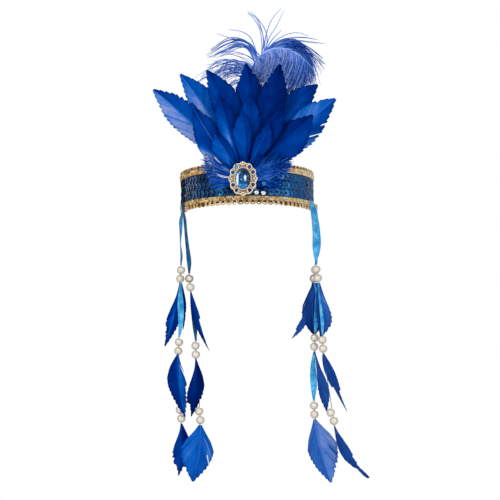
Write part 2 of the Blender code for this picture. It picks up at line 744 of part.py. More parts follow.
def add_cutter(name, bm):
    bmesh.ops.recalc_face_normals(bm, faces=bm.faces)
    mesh = bpy.data.meshes.new(name)
    bm.to_mesh(mesh)
    bm.free()
    obj = bpy.data.objects.new(name, mesh)
    obj.display_type = "WIRE"
    obj.hide_render = True
    cutters.objects.link(obj)
    return obj


def union_with(obj, others):
    for other in others:
        join = obj.modifiers.new(other.name, "BOOLEAN")
        join.operation = "UNION"
        join.solver = "EXACT"
        join.object = other


def collet_places():
    """Where the small stones sit: two in each quarter of the rim."""
    for side in (-1, 1):
        for end in (-1, 1):
            yield side * 7.6 * MM, end * 13.4 * MM
            yield side * 11.5 * MM, end * 7.3 * MM


def piercing_places():
    """The pierced motifs at the top, bottom and sides: one hole and two smaller beside it."""
    for side in (-1, 1):
        yield 0.0, side * 16.6 * MM
        yield side * 13.4 * MM, 0.0
        for end in (-1, 1):
            yield end * 2.9 * MM, side * 15.6 * MM
            yield side * 12.6 * MM, end * 2.7 * MM


def make_brooch():
    front = BROOCH_BACK_Y - BROOCH_PLATE
    rim = oval_points(BROOCH_HALF_WIDTH, BROOCH_HALF_HEIGHT, SCALLOP_POINTS, SCALLOP_DEEP, SCALLOPS)
    outlines = [rim]
    for x, z in piercing_places():
        hole = oval_points(PIERCING_RADIUS, PIERCING_RADIUS, PIERCING_SIDES)
        outlines.append([(x + dx, z + dz) for dx, dz in hole])
    plate = flat_plate("rim", outlines, BROOCH_PLATE, front)
    frame = add_object("brooch_frame", plate, "filigree")
    across, high = STONE_HALF_WIDTH + GAP, STONE_HALF_HEIGHT + GAP
    outer = oval_points(across + BEZEL_WALL, high + BEZEL_WALL, BEZEL_SIDES)
    inner = oval_points(across, high, BEZEL_SIDES)
    bezel = flat_plate("bezel", [outer, inner], BEZEL_RISE + SOLDER_DEEP, front - BEZEL_RISE)
    tools = [add_cutter("bezel", bezel)]
    depth = COLLET_RISE + SOLDER_DEEP
    for i, (x, z) in enumerate(collet_places()):
        bm = bmesh.new()
        bmesh.ops.create_cone(
            bm,
            cap_ends=True,
            segments=COLLET_SIDES,
            radius1=COLLET_RADIUS,
            radius2=COLLET_RADIUS * COLLET_TOP_SHARE,
            depth=depth,
        )
        for vert in bm.verts:
            place = vert.co.copy()
            forward = front + SOLDER_DEEP - (place.z + depth / 2)
            vert.co = Vector((x + place.x, forward, BROOCH_Z + z + place.y))
        tools.append(add_cutter(f"collet_{i + 1}", bm))
    union_with(frame, tools)
    return frame


def make_stone():
    """The large oval stone: table, two rows of facets, girdle and a short pavilion."""
    back = BROOCH_BACK_Y - BROOCH_PLATE - GAP
    rings = []
    for share, height in STONE_LEVELS:
        oval = oval_points(STONE_HALF_WIDTH * share, STONE_HALF_HEIGHT * share, STONE_SIDES)
        rings.append([Vector((x, back - STONE_HIGH * height, BROOCH_Z + z)) for x, z in oval])
    return add_object("brooch_stone", loft(rings), "stone")


def pearl_axis(row):
    lean = math.radians(row.lean)
    down = Vector((math.sin(lean), 0.0, -math.cos(lean)))
    middle = Vector((row.x, STRAND_Y[row.strand], row.z)) * MM
    return middle - down * PEARL_PITCH / 2, middle + down * PEARL_PITCH / 2


def make_pearls(row):
    """Two touching pearls on their thread, turned about the pair's own axis."""
    upper, lower = pearl_axis(row)
    profile = []
    for up, turns in ((1, UPPER_PEARL_TURNS), (-1, LOWER_PEARL_TURNS)):
        for turn in turns:
            angle = math.radians(turn)
            height = up * PEARL_PITCH / 2 + PEARL_RADIUS * math.cos(angle)
            profile.append((PEARL_RADIUS * math.sin(angle), 0.0, height))
    bm = bmesh.new()
    verts = [bm.verts.new(point) for point in profile]
    for a, b in zip(verts, verts[1:]):
        bm.edges.new((a, b))
    mesh = bpy.data.meshes.new("pearl_profile")
    bm.to_mesh(mesh)
    bm.free()
    obj = bpy.data.objects.new(f"pearls_{row.strand}_{row.pair}", mesh)
    obj.location = (upper + lower) / 2
    obj.rotation_euler = (0.0, -math.radians(row.lean), 0.0)
    parts.objects.link(obj)
    turn = obj.modifiers.new("turned", "SCREW")
    turn.axis = "Z"
    turn.steps = turn.render_steps = PEARL_SIDES
    turn.use_merge_vertices = True
    turn.merge_threshold = 0.00005
    turn.use_normal_calculate = True
    mesh.materials.append(materials["pearl"])
    if row.thread:
        union_with(obj, [make_thread(row, upper)])
    return obj


def make_thread(row, upper):
    """The thread from a pair of pearls up to the pair above it, behind the feather."""
    above = next(p for p in PEARLS if p.strand == row.strand and p.pair == row.pair - 1)
    top = pearl_axis(above)[1]
    way = (top - upper).normalized()
    across = way.cross(Vector((0, 1, 0))).normalized()
    deep = across.cross(way)
    rings = []
    for centre in (upper + way * THREAD_IN_PEARL, top - way * (PEARL_RADIUS + GAP)):
        ring = []
        for i in range(THREAD_SIDES):
            turn = math.tau * i / THREAD_SIDES
            ring.append(centre + (across * math.cos(turn) + deep * math.sin(turn)) * THREAD_RADIUS)
        rings.append(ring)
    return add_cutter(f"thread_{row.strand}_{row.pair}", loft(rings))


def sewn_turns(strand, sign):
    """The rows of a ribbon where it is sewn flat against the outside of the braid."""
    angle = sign * math.acos(-STRAND_Y[strand] * MM / RING_HALF_DEPTH)
    found = []
    for z, half_width in RIBBON_SEWN:
        centre = ring_point(angle, GAP + RIBBON_THICK / 2, z * MM)
        ahead = ring_point(angle + 0.01, GAP + RIBBON_THICK / 2, z * MM) - centre
        behind = centre.y / MM - STRAND_Y[strand]
        turn = math.degrees(math.atan2(ahead.y, ahead.x))
        found.append(Turn(centre.x / MM, behind, z, half_width, turn))
    return found


def make_ribbon(key, rows):
    strand, number, finish = key
    if number == 1:
        rows = sewn_turns(strand, math.copysign(1, rows[0].x)) + rows
    rings = []
    for i, row in enumerate(rows):
        centre = Vector((row.x, STRAND_Y[strand] + row.behind, row.z)) * MM
        turn = math.radians(row.turn)
        side = Vector((math.cos(turn), math.sin(turn), 0.0))
        front = Vector((math.sin(turn), -math.cos(turn), 0.0))
        wide = side * row.half_width * MM
        thin = front * RIBBON_THICK / 2
        left, right = centre - wide, centre + wide
        rings.append([left + thin, right + thin, right - thin, left - thin])
    return add_object(f"ribbon_{strand}_{number}", loft(rings), finish, smooth=True)


clear_scene()
parts = make_collection("feather_headband")
cutters = make_collection("cutters")
materials = {key: make_material(finish) for key, finish in FINISHES.items()}

make_band()
make_elastic()
make_braid("braid_lower", LOWER_BRAID_TOP, LOWER_BRAID_Z, LOWER_PICOT_DEEP, (-0.6, 0.6))
make_braid("braid_upper", UPPER_BRAID_Z, UPPER_BRAID_TOP, UPPER_PICOT_DEEP, (0.0,))
for feather in FAN:
    make_fan_feather(feather)
make_plume()
make_brooch()
make_stone()
for pair in PEARLS:
    make_pearls(pair)
for key, rows in RIBBONS.items():
    make_ribbon(key, rows)
for feather in HANGING:
    make_hanging_feather(feather)
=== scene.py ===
# %% [markdown]
# # A feather headband for stage wear
# A ring of sequinned cloth edged with gold braid carries a fan of cut feathers, a
# curled plume, an oval brooch and four hanging strands of ribbon, pearls and
# feathers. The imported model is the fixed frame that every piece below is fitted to.
# %% Load the frame
import math

import bpy
import numpy as np
from mathutils import Matrix, Vector


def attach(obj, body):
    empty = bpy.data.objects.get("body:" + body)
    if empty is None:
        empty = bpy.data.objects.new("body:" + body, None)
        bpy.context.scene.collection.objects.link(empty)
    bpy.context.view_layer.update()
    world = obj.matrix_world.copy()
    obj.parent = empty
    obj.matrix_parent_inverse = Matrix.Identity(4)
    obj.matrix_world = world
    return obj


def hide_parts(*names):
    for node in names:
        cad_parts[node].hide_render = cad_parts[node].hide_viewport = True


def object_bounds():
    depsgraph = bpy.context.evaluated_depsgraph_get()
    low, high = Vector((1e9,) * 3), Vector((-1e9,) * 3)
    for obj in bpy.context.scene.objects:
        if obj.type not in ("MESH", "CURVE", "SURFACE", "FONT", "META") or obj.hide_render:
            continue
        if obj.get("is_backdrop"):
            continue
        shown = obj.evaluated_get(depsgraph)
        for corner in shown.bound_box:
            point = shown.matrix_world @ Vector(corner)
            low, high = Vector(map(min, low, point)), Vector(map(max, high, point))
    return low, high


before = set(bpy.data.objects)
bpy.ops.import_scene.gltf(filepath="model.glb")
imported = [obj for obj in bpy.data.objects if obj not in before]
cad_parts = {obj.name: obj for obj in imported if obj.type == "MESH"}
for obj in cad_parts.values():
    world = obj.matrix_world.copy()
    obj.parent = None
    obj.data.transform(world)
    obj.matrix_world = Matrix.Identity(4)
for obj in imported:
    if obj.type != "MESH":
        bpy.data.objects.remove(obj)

MM = 0.001
cad_low, cad_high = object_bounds()
print("CAD box in mm:", [round(v / MM, 1) for v in (*cad_low, *cad_high)])

# %% [markdown]
# ## Camera
# The photograph is taken from a little below the band with a long lens, so the ring
# shows as a shallow arc. The camera is placed from its angles round the object: how
# far it is turned to the side, how far it looks up and how far it is rolled.
# %% Place the camera
LOOK_TURN, LOOK_UP, LOOK_ROLL = (math.radians(a) for a in (2.4, 6.0, 0.6))
LOOK_AT = Vector((0.0024, 0.0046, -0.0426))
LOOK_FROM = 2.5

right = Vector((math.cos(LOOK_TURN), math.sin(LOOK_TURN), 0.0))
forward = Vector((-right.y * math.cos(LOOK_UP), right.x * math.cos(LOOK_UP), math.sin(LOOK_UP)))
turned = Matrix.Rotation(LOOK_ROLL, 3, forward)
across, upward = turned @ right, turned @ right.cross(forward)

bpy.ops.object.camera_add(location=LOOK_AT - forward * LOOK_FROM)
camera = bpy.context.object
camera.rotation_euler = Matrix((across, upward, -forward)).transposed().to_euler()
camera.data.lens = 150
camera.data.sensor_width = 36
camera.data.clip_end = 50
bpy.context.scene.camera = camera
print("camera at", [round(v, 3) for v in camera.location])

# %% [markdown]
# ## Studio
# A pale sweep and large soft lamps. The world is white where the camera looks at it
# and dimmer as a light, so that the feathers keep their deep colour. The floor is far
# enough below for the strands to hang free.
# %% Light the studio
scene = bpy.context.scene
scene.view_settings.view_transform = "Standard"
world = bpy.data.worlds.new("studio")
scene.world = world
world.use_nodes = True
sky = world.node_tree
sky.nodes.clear()
path = sky.nodes.new("ShaderNodeLightPath")
seen = sky.nodes.new("ShaderNodeBackground")
seen.inputs["Color"].default_value = (1.0, 1.0, 1.0, 1.0)
seen.inputs["Strength"].default_value = 1.0
lit = sky.nodes.new("ShaderNodeBackground")
lit.inputs["Color"].default_value = (0.93, 0.96, 1.0, 1.0)
lit.inputs["Strength"].default_value = 0.62
either = sky.nodes.new("ShaderNodeMixShader")
sky.links.new(path.outputs["Is Camera Ray"], either.inputs[0])
sky.links.new(lit.outputs[0], either.inputs[1])
sky.links.new(seen.outputs[0], either.inputs[2])
sky.links.new(either.outputs[0], sky.nodes.new("ShaderNodeOutputWorld").inputs[0])


def softbox(name, place, size, power):
    """A square lamp that faces the middle of the headband."""
    bpy.ops.object.light_add(type="AREA", location=place)
    lamp = bpy.context.object
    lamp.name = name
    lamp.data.size = size
    lamp.data.energy = power
    lamp.rotation_euler = (LOOK_AT - Vector(place)).to_track_quat("-Z", "Y").to_euler()


softbox("key_light", (-1.3, -1.7, 1.1), 0.9, 24)
softbox("fill_light", (1.6, -1.5, 0.3), 1.2, 10)
softbox("rim_light", (0.4, 1.6, 1.4), 1.2, 14)

# %% [markdown]
# ## Small helpers
# Every piece is picked, shaped and finished in the same few steps. A piece that is
# repeated is modelled once; `copies` then sets one copy of its mesh at each place and
# joins them, with a random shade stored on each copy for the material to read.
# %% Helpers for meshes
dice = np.random.default_rng(11)


def pick(*objects):
    """Select only these objects."""
    bpy.ops.object.select_all(action="DESELECT")
    for obj in objects:
        obj.select_set(True)
    bpy.context.view_layer.objects.active = objects[0]


def points_of(obj):
    found = np.empty(len(obj.data.vertices) * 3)
    obj.data.vertices.foreach_get("co", found)
    return found.reshape(-1, 3)


def move_points(obj, points):
    obj.data.vertices.foreach_set("co", np.ascontiguousarray(points, dtype=float).ravel())
    obj.data.update()


def settle(obj):
    """Put the object's place, turn and size into its mesh."""
    pick(obj)
    bpy.ops.object.transform_apply(location=True, rotation=True, scale=True)


def finish_modifiers(obj):
    pick(obj)
    for modifier in list(obj.modifiers):
        bpy.ops.object.modifier_apply(modifier=modifier.name)


def select_all_of(obj):
    pick(obj)
    bpy.ops.object.mode_set(mode="EDIT")
    bpy.ops.mesh.select_all(action="SELECT")


def done_editing():
    bpy.ops.object.mode_set(mode="OBJECT")


def face_outwards():
    """In edit mode, turn every face to the outside of its piece."""
    bpy.ops.mesh.select_all(action="SELECT")
    bpy.ops.mesh.normals_make_consistent(inside=False)


def thicken(obj, thickness, offset=0.0):
    """Give a thin piece its thickness in mm, to both sides unless the offset is -1."""
    solid = obj.modifiers.new("thickness", "SOLIDIFY")
    solid.thickness = thickness * MM
    solid.offset = offset
    finish_modifiers(obj)


def store(mesh, name, values):
    """A number on each point, which a material reads by name."""
    attribute = mesh.attributes.get(name) or mesh.attributes.new(name, "FLOAT", "POINT")
    attribute.data.foreach_set("value", np.asarray(values, dtype=float).ravel())


def corner_points(mesh):
    """The point that each corner of each face stands on."""
    found = np.empty(len(mesh.loops), dtype=int)
    mesh.loops.foreach_get("vertex_index", found)
    return found


def store_uv(mesh, uv):
    """Lay the mesh out flat for its material: uv has one flat place for each point."""
    mesh.uv_layers.active.data.foreach_set("uv", uv[corner_points(mesh)].ravel())


def mesh_of_copies(name, model, placed, shades):
    """One mesh from many placed copies of a model: placed is copies x points x 3."""
    source = model.data
    corners = corner_points(source)
    starts = np.empty(len(source.polygons), dtype=int)
    source.polygons.foreach_get("loop_start", starts)
    count, size = len(placed), len(source.vertices)
    mesh = bpy.data.meshes.new(name)
    mesh.vertices.add(count * size)
    mesh.vertices.foreach_set("co", np.ascontiguousarray(placed, dtype=float).ravel())
    mesh.loops.add(count * len(corners))
    shift = np.arange(count)[:, None]
    mesh.loops.foreach_set("vertex_index", (corners[None] + shift * size).ravel())
    mesh.polygons.add(count * len(starts))
    mesh.polygons.foreach_set("loop_start", (starts[None] + shift * len(corners)).ravel())
    mesh.update(calc_edges=True)
    store(mesh, "shade", np.repeat(np.asarray(shades, dtype=float), size))
    obj = bpy.data.objects.new(name, mesh)
    scene.collection.objects.link(obj)
    return obj


def copies(name, model, places, shades=None):
    """Copies of a model at many places, each a 4 x 4 matrix."""
    base = np.column_stack([points_of(model), np.ones(len(model.data.vertices))])
    placed = np.einsum("nij,vj->nvi", np.array([np.array(m) for m in places]), base)[..., :3]
    shades = dice.random(len(placed)) if shades is None else shades
    return mesh_of_copies(name, model, placed, shades)


def discard(*objects):
    for obj in objects:
        bpy.data.objects.remove(obj, do_unlink=True)


def join(name, *objects):
    pick(*objects)
    bpy.ops.object.join()
    objects[0].name = name
    return objects[0]


def dress(obj, material, slot, *nodes, smooth=True):
    """Give a piece its finish, its body and the CAD nodes that it stands for."""
    obj.data.materials.clear()
    obj.data.materials.append(material)
    if smooth:
        obj.data.shade_smooth()
    else:
        obj.data.shade_flat()
    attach(obj, "root")
    if nodes:
        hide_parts(*nodes)
    return obj


def triangles(obj):
    return sum(len(p.vertices) - 2 for p in obj.data.polygons)


# %% [markdown]
# ## Threads and barbs
# Barbs, down, cords and quills are all long thin tubes. One straight tube is modelled
# from a cylinder and cut into steps; `strands` then bends a copy of it along every
# path and narrows it to its tip.
# %% Model one tube
HAIR_STEPS, BARB_STEPS, QUILL_STEPS, CORD_STEPS = 6, 14, 24, 176


def cut_into_steps(obj, steps, axis, start):
    """Cut a piece that is 1 long across an axis, into equal steps from its start."""
    select_all_of(obj)
    for i in range(1, steps):
        place, way = [0.0] * 3, [0.0] * 3
        place[axis] = start + i / steps
        way[axis] = 1.0
        bpy.ops.mesh.select_all(action="SELECT")
        bpy.ops.mesh.bisect(plane_co=place, plane_no=way)
    done_editing()


def tube_model(sides, steps):
    bpy.ops.mesh.primitive_cylinder_add(
        vertices=sides, radius=1, depth=1, end_fill_type="TRIFAN", location=(0, 0, 0.5)
    )
    model = bpy.context.object
    settle(model)
    cut_into_steps(model, steps, 2, 0.0)
    return model


def strands(name, model, paths, radii, shades):
    """Bend the tube along each path. radii holds one radius for each point of a path."""
    paths = np.asarray(paths, dtype=float)
    steps = paths.shape[1] - 1
    base = points_of(model)
    at = np.rint(base[:, 2] * steps).astype(int)
    ahead = np.gradient(paths, axis=1)
    ahead /= np.linalg.norm(ahead, axis=2, keepdims=True) + 1e-12
    guide = np.where(np.abs(ahead[..., 1:2]) > 0.9, (1.0, 0.0, 0.0), (0.0, 1.0, 0.0))
    side = np.cross(ahead, guide)
    side /= np.linalg.norm(side, axis=2, keepdims=True) + 1e-12
    other = np.cross(ahead, side)
    wide = np.asarray(radii, dtype=float)[:, at, None]
    placed = paths[:, at] + (side[:, at] * base[:, 0, None] + other[:, at] * base[:, 1, None]) * wide
    return mesh_of_copies(name, model, placed, shades)


def bezier(start, bend, tip, at):
    """Points on simple curves from a start by a bend to a tip. at says how far along."""
    at = at[..., None]
    start, bend, tip = (p[:, None] for p in (start, bend, tip))
    return start * (1 - at) ** 2 + bend * 2 * (at * (1 - at)) + tip * at**2


def lengths_along(points):
    """How far along a line each of its points lies."""
    steps = np.linalg.norm(np.diff(points, axis=0), axis=1)
    return np.concatenate([[0.0], np.cumsum(steps)])


def between(at, places, values):
    """Rows of values read off between the places of a table."""
    return np.stack([np.interp(at, places, column) for column in values.T], axis=-1)


def curve_through(points, steps):
    """Even points on a smooth curve through a few given ones."""
    points = np.asarray(points, dtype=float)
    place = lengths_along(points[:, :3])
    slopes = np.gradient(points, place, axis=0)
    s = np.linspace(0, place[-1], steps + 1)
    i = np.clip(np.searchsorted(place, s, side="right") - 1, 0, len(points) - 2)
    gap = (place[i + 1] - place[i])[:, None]
    t = (s - place[i])[:, None] / gap
    return (
        (2 * t**3 - 3 * t**2 + 1) * points[i]
        + (t**3 - 2 * t**2 + t) * gap * slopes[i]
        + (3 * t**2 - 2 * t**3) * points[i + 1]
        + (t**3 - t**2) * gap * slopes[i + 1]
    )


hair = tube_model(3, HAIR_STEPS)
barb = tube_model(3, BARB_STEPS)
quill_tube = tube_model(6, QUILL_STEPS)
cord_tube = tube_model(6, CORD_STEPS)
print("tube models:", [len(o.data.polygons) for o in (hair, barb, quill_tube, cord_tube)])

# %% [markdown]
# ## Shader helpers
# A material is a small tree of nodes. `add` makes one node and wires it in the same
# line. Three effects are used by several finishes, so each is a node group built once:
# the fine lines of barbs, the soft uneven dye of cloth and feathers, and the wear of
# plated metal.
# %% Build the shared groups
def srgb(red, green, blue):
    """A colour as a screen shows it, 0 to 255, made linear."""
    shown = (red, green, blue)
    linear = [((v / 255 + 0.055) / 1.055) ** 2.4 if v > 10 else v / 3295 for v in shown]
    return (*linear, 1.0)


def feed(tree, node, inputs):
    """Fill inputs of a node. Another node's output is wired in, a number is stored."""
    for key, value in inputs.items():
        if isinstance(value, bpy.types.NodeSocket):
            tree.links.new(value, node.inputs[key])
        else:
            node.inputs[key].default_value = value
    return node


def add(tree, kind, inputs=None, **settings):
    node = tree.nodes.new("ShaderNode" + kind)
    for key, value in settings.items():
        setattr(node, key, value)
    return feed(tree, node, inputs or {})


def ramp(tree, factor, stops):
    """A colour ramp: stops are (place, red, green, blue)."""
    node = add(tree, "ValToRGB", {0: factor})
    while len(node.color_ramp.elements) < len(stops):
        node.color_ramp.elements.new(0.5)
    for element, (place, *colour) in zip(node.color_ramp.elements, stops):
        element.position = place
        element.color = srgb(*colour)
    return node.outputs[0]


def math_node(tree, operation, a, b=0.0, c=0.0, clamp=False):
    return add(tree, "Math", {0: a, 1: b, 2: c}, operation=operation, use_clamp=clamp).outputs[0]


def mix(tree, share, first, second):
    """The first colour where the share is 0, the second where it is 1."""
    return add(tree, "Mix", {0: share, 6: first, 7: second}, data_type="RGBA").outputs[2]


def stretch(tree, value, low, high, new_low=0.0, new_high=1.0):
    """A value between low and high, carried over to between two new limits."""
    return add(tree, "MapRange", {0: value, 1: low, 2: high, 3: new_low, 4: new_high}).outputs[0]


def group(name, inputs, outputs):
    """An empty node group, with where its inputs come in and where its results go out."""
    tree = bpy.data.node_groups.new(name, "ShaderNodeTree")
    for label, kind in inputs.items():
        tree.interface.new_socket(label, in_out="INPUT", socket_type="NodeSocket" + kind)
    for label in outputs:
        tree.interface.new_socket(label, in_out="OUTPUT", socket_type="NodeSocketFloat")
    return tree, tree.nodes.new("NodeGroupInput").outputs, tree.nodes.new("NodeGroupOutput")


barb_lines, given, result = group(
    "barb_lines", {"Vector": "Vector", "Fineness": "Float"}, ["Streak", "Height"]
)
parts = add(barb_lines, "SeparateXYZ", {0: given["Vector"]})
fine = math_node(barb_lines, "MULTIPLY", parts.outputs[0], given["Fineness"])
low = math_node(barb_lines, "MULTIPLY", parts.outputs[1], 0.9)
drawn_out = add(barb_lines, "CombineXYZ", {0: fine, 1: low}).outputs[0]
fibres = {"Vector": drawn_out, "Scale": 1.0, "Detail": 5.0, "Roughness": 0.65}
streaks = add(barb_lines, "TexNoise", fibres).outputs[0]
ridge = math_node(barb_lines, "SINE", math_node(barb_lines, "MULTIPLY", parts.outputs[0], 11.0))
height = math_node(barb_lines, "MULTIPLY_ADD", ridge, 0.35, streaks)
feed(barb_lines, result, {"Streak": streaks, "Height": height})

soft_mottle, given, result = group("soft_mottle", {"Vector": "Vector", "Scale": "Float"}, ["Mottle"])
clouds = {"Vector": given["Vector"], "Scale": given["Scale"], "Detail": 3.0}
cloudy = add(soft_mottle, "TexNoise", clouds).outputs[0]
feed(soft_mottle, result, {"Mottle": stretch(soft_mottle, cloudy, 0.3, 0.7)})

metal_wear, given, result = group(
    "metal_wear", {"Vector": "Vector", "Scale": "Float"}, ["Tarnish", "Roughness", "Height"]
)
stains = {"Vector": given["Vector"], "Scale": given["Scale"], "Detail": 6.0, "Roughness": 0.7}
stain = add(metal_wear, "TexNoise", stains).outputs[0]
pits = add(metal_wear, "TexVoronoi", {"Vector": given["Vector"], "Scale": 1400.0}).outputs[0]
dull = stretch(metal_wear, stain, 0.35, 0.65)
rough = stretch(metal_wear, stain, 0.3, 0.7, 0.26, 0.52)
feed(metal_wear, result, {"Tarnish": dull, "Roughness": rough, "Height": pits})
print("shader groups:", [g.name for g in bpy.data.node_groups])

# %% [markdown]
# ## Starting a material
# Every finish starts from one shader with a few plain numbers. Small helpers then read
# what a piece stores on its points, lay clouds, lines or wear over it, and turn a height
# into relief.
# %% Start a material
def material(name, **fixed):
    """A new material, its tree and its shader, with plain numbers set on the sockets."""
    made = bpy.data.materials.new(name)
    made.use_nodes = True
    shader = made.node_tree.nodes["Principled BSDF"]
    feed(made.node_tree, shader, {key.replace("_", " "): value for key, value in fixed.items()})
    return made, made.node_tree, shader


def attribute(tree, name):
    return add(tree, "Attribute", attribute_name=name, attribute_type="GEOMETRY").outputs["Fac"]


def object_place(tree):
    return add(tree, "TexCoord").outputs["Object"]


def over_piece(tree, source, scale):
    """The outputs of a shared group that is laid over the piece in its own coordinates."""
    inputs = {"Vector": object_place(tree), "Scale": scale}
    return add(tree, "Group", inputs, node_tree=source).outputs


def mottle(tree, scale):
    return over_piece(tree, soft_mottle, scale)["Mottle"]


def fine_lines(tree, fineness):
    """A streak and a height that run in lines across the piece's flat layout."""
    inputs = {"Vector": add(tree, "TexCoord").outputs["UV"], "Fineness": fineness}
    return add(tree, "Group", inputs, node_tree=barb_lines).outputs


def noise(tree, scale, detail=2.0):
    inputs = {"Vector": object_place(tree), "Scale": scale, "Detail": detail}
    return add(tree, "TexNoise", inputs).outputs[0]


def bump(tree, height, strength, distance):
    inputs = {"Height": height, "Strength": strength, "Distance": distance}
    return add(tree, "Bump", inputs).outputs[0]


def centred(tree, value, strength):
    """A value from 0 to 1 as a push of either sign."""
    return math_node(tree, "MULTIPLY", math_node(tree, "SUBTRACT", value, 0.5), strength)


# %% [markdown]
# ## Feather finish
# Dyed goose feather takes the dye unevenly, and single barbs run darker or lighter from
# the quill to the edge. Light is painted into the colour as well: the vane that faces
# the light is given a pale, chalky tone and the other a deep royal blue, and a painted
# contact shadow darkens the tone where another feather lies close in front. The `tone`
# of each point picks a place on one ramp from navy to periwinkle, and the barb lines
# move it a little.
# %% Feather materials
FEATHER_DYE = [
    (0.0, 0, 10, 48), (0.22, 0, 28, 98), (0.42, 0, 46, 130), (0.6, 0, 70, 160),
    (0.76, 18, 96, 188), (0.88, 70, 118, 196), (1.0, 132, 146, 198),
]
HANGING_DYE = [
    (0.0, 4, 16, 56), (0.22, 8, 40, 104), (0.42, 26, 66, 140), (0.6, 38, 88, 168),
    (0.76, 52, 108, 190), (0.88, 88, 126, 200), (1.0, 126, 144, 204),
]


def feather_material(name, dye_and_light, roughness):
    made, tree, shader = material(name, Roughness=roughness, Specular_IOR_Level=0.0)
    lines = fine_lines(tree, 0.8)
    streak = centred(tree, lines["Streak"], 0.42)
    patch = centred(tree, mottle(tree, 60.0), 0.10)
    # painted contact shadow: where ambient occlusion finds another feather close in front, the tone is made
    # darker
    near = add(tree, "AmbientOcclusion", {"Distance": 0.009}, samples=8).outputs["AO"]
    shadow = math_node(tree, "MULTIPLY", math_node(tree, "SUBTRACT", 1.0, near), 0.24)
    lit = math_node(tree, "SUBTRACT", attribute(tree, "tone"), shadow)
    tone = math_node(tree, "ADD", math_node(tree, "ADD", lit, streak), patch, clamp=True)
    relief = bump(tree, lines["Height"], 0.35, 0.0002)
    feed(tree, shader, {"Base Color": ramp(tree, tone, dye_and_light), "Normal": relief})
    return made


blue_feather = feather_material("blue_feather", FEATHER_DYE, 0.46)
faded_feather = feather_material("faded_feather", HANGING_DYE, 0.5)
print("feather dye stops:", len(FEATHER_DYE))

# %% [markdown]
# ## Modelling a feather
# A cut feather is a quill with a flat vane on each side, and its edge is snipped into
# small teeth that point to the tip. A grid is laid along the quill. Its rows aren't
# straight across: they lean forwards as barbs do, so colour streaks and splits follow
# the barbs. Four rows make one tooth. The vanes droop a little from the quill.
# %% Build one feather
COLUMNS = 12
DROOP = 0.14
VANE_THICKNESS = 0.22
# how far into its tooth each of the four rows lies
TOOTH_STEPS = (0.0, 0.32, 0.66, 0.97)


def feather_rows(length, pitch):
    """Places of the grid's rows along the edge, and how far each is into its tooth."""
    teeth = max(6, round(length / pitch))
    along = [(tooth + step) / teeth for tooth in range(teeth) for step in TOOTH_STEPS]
    return np.array(along + [1.0]), np.array(TOOTH_STEPS * teeth + (1.0,)), teeth


def running_mean(values, width):
    return np.convolve(values, np.ones(width) / width, "valid")


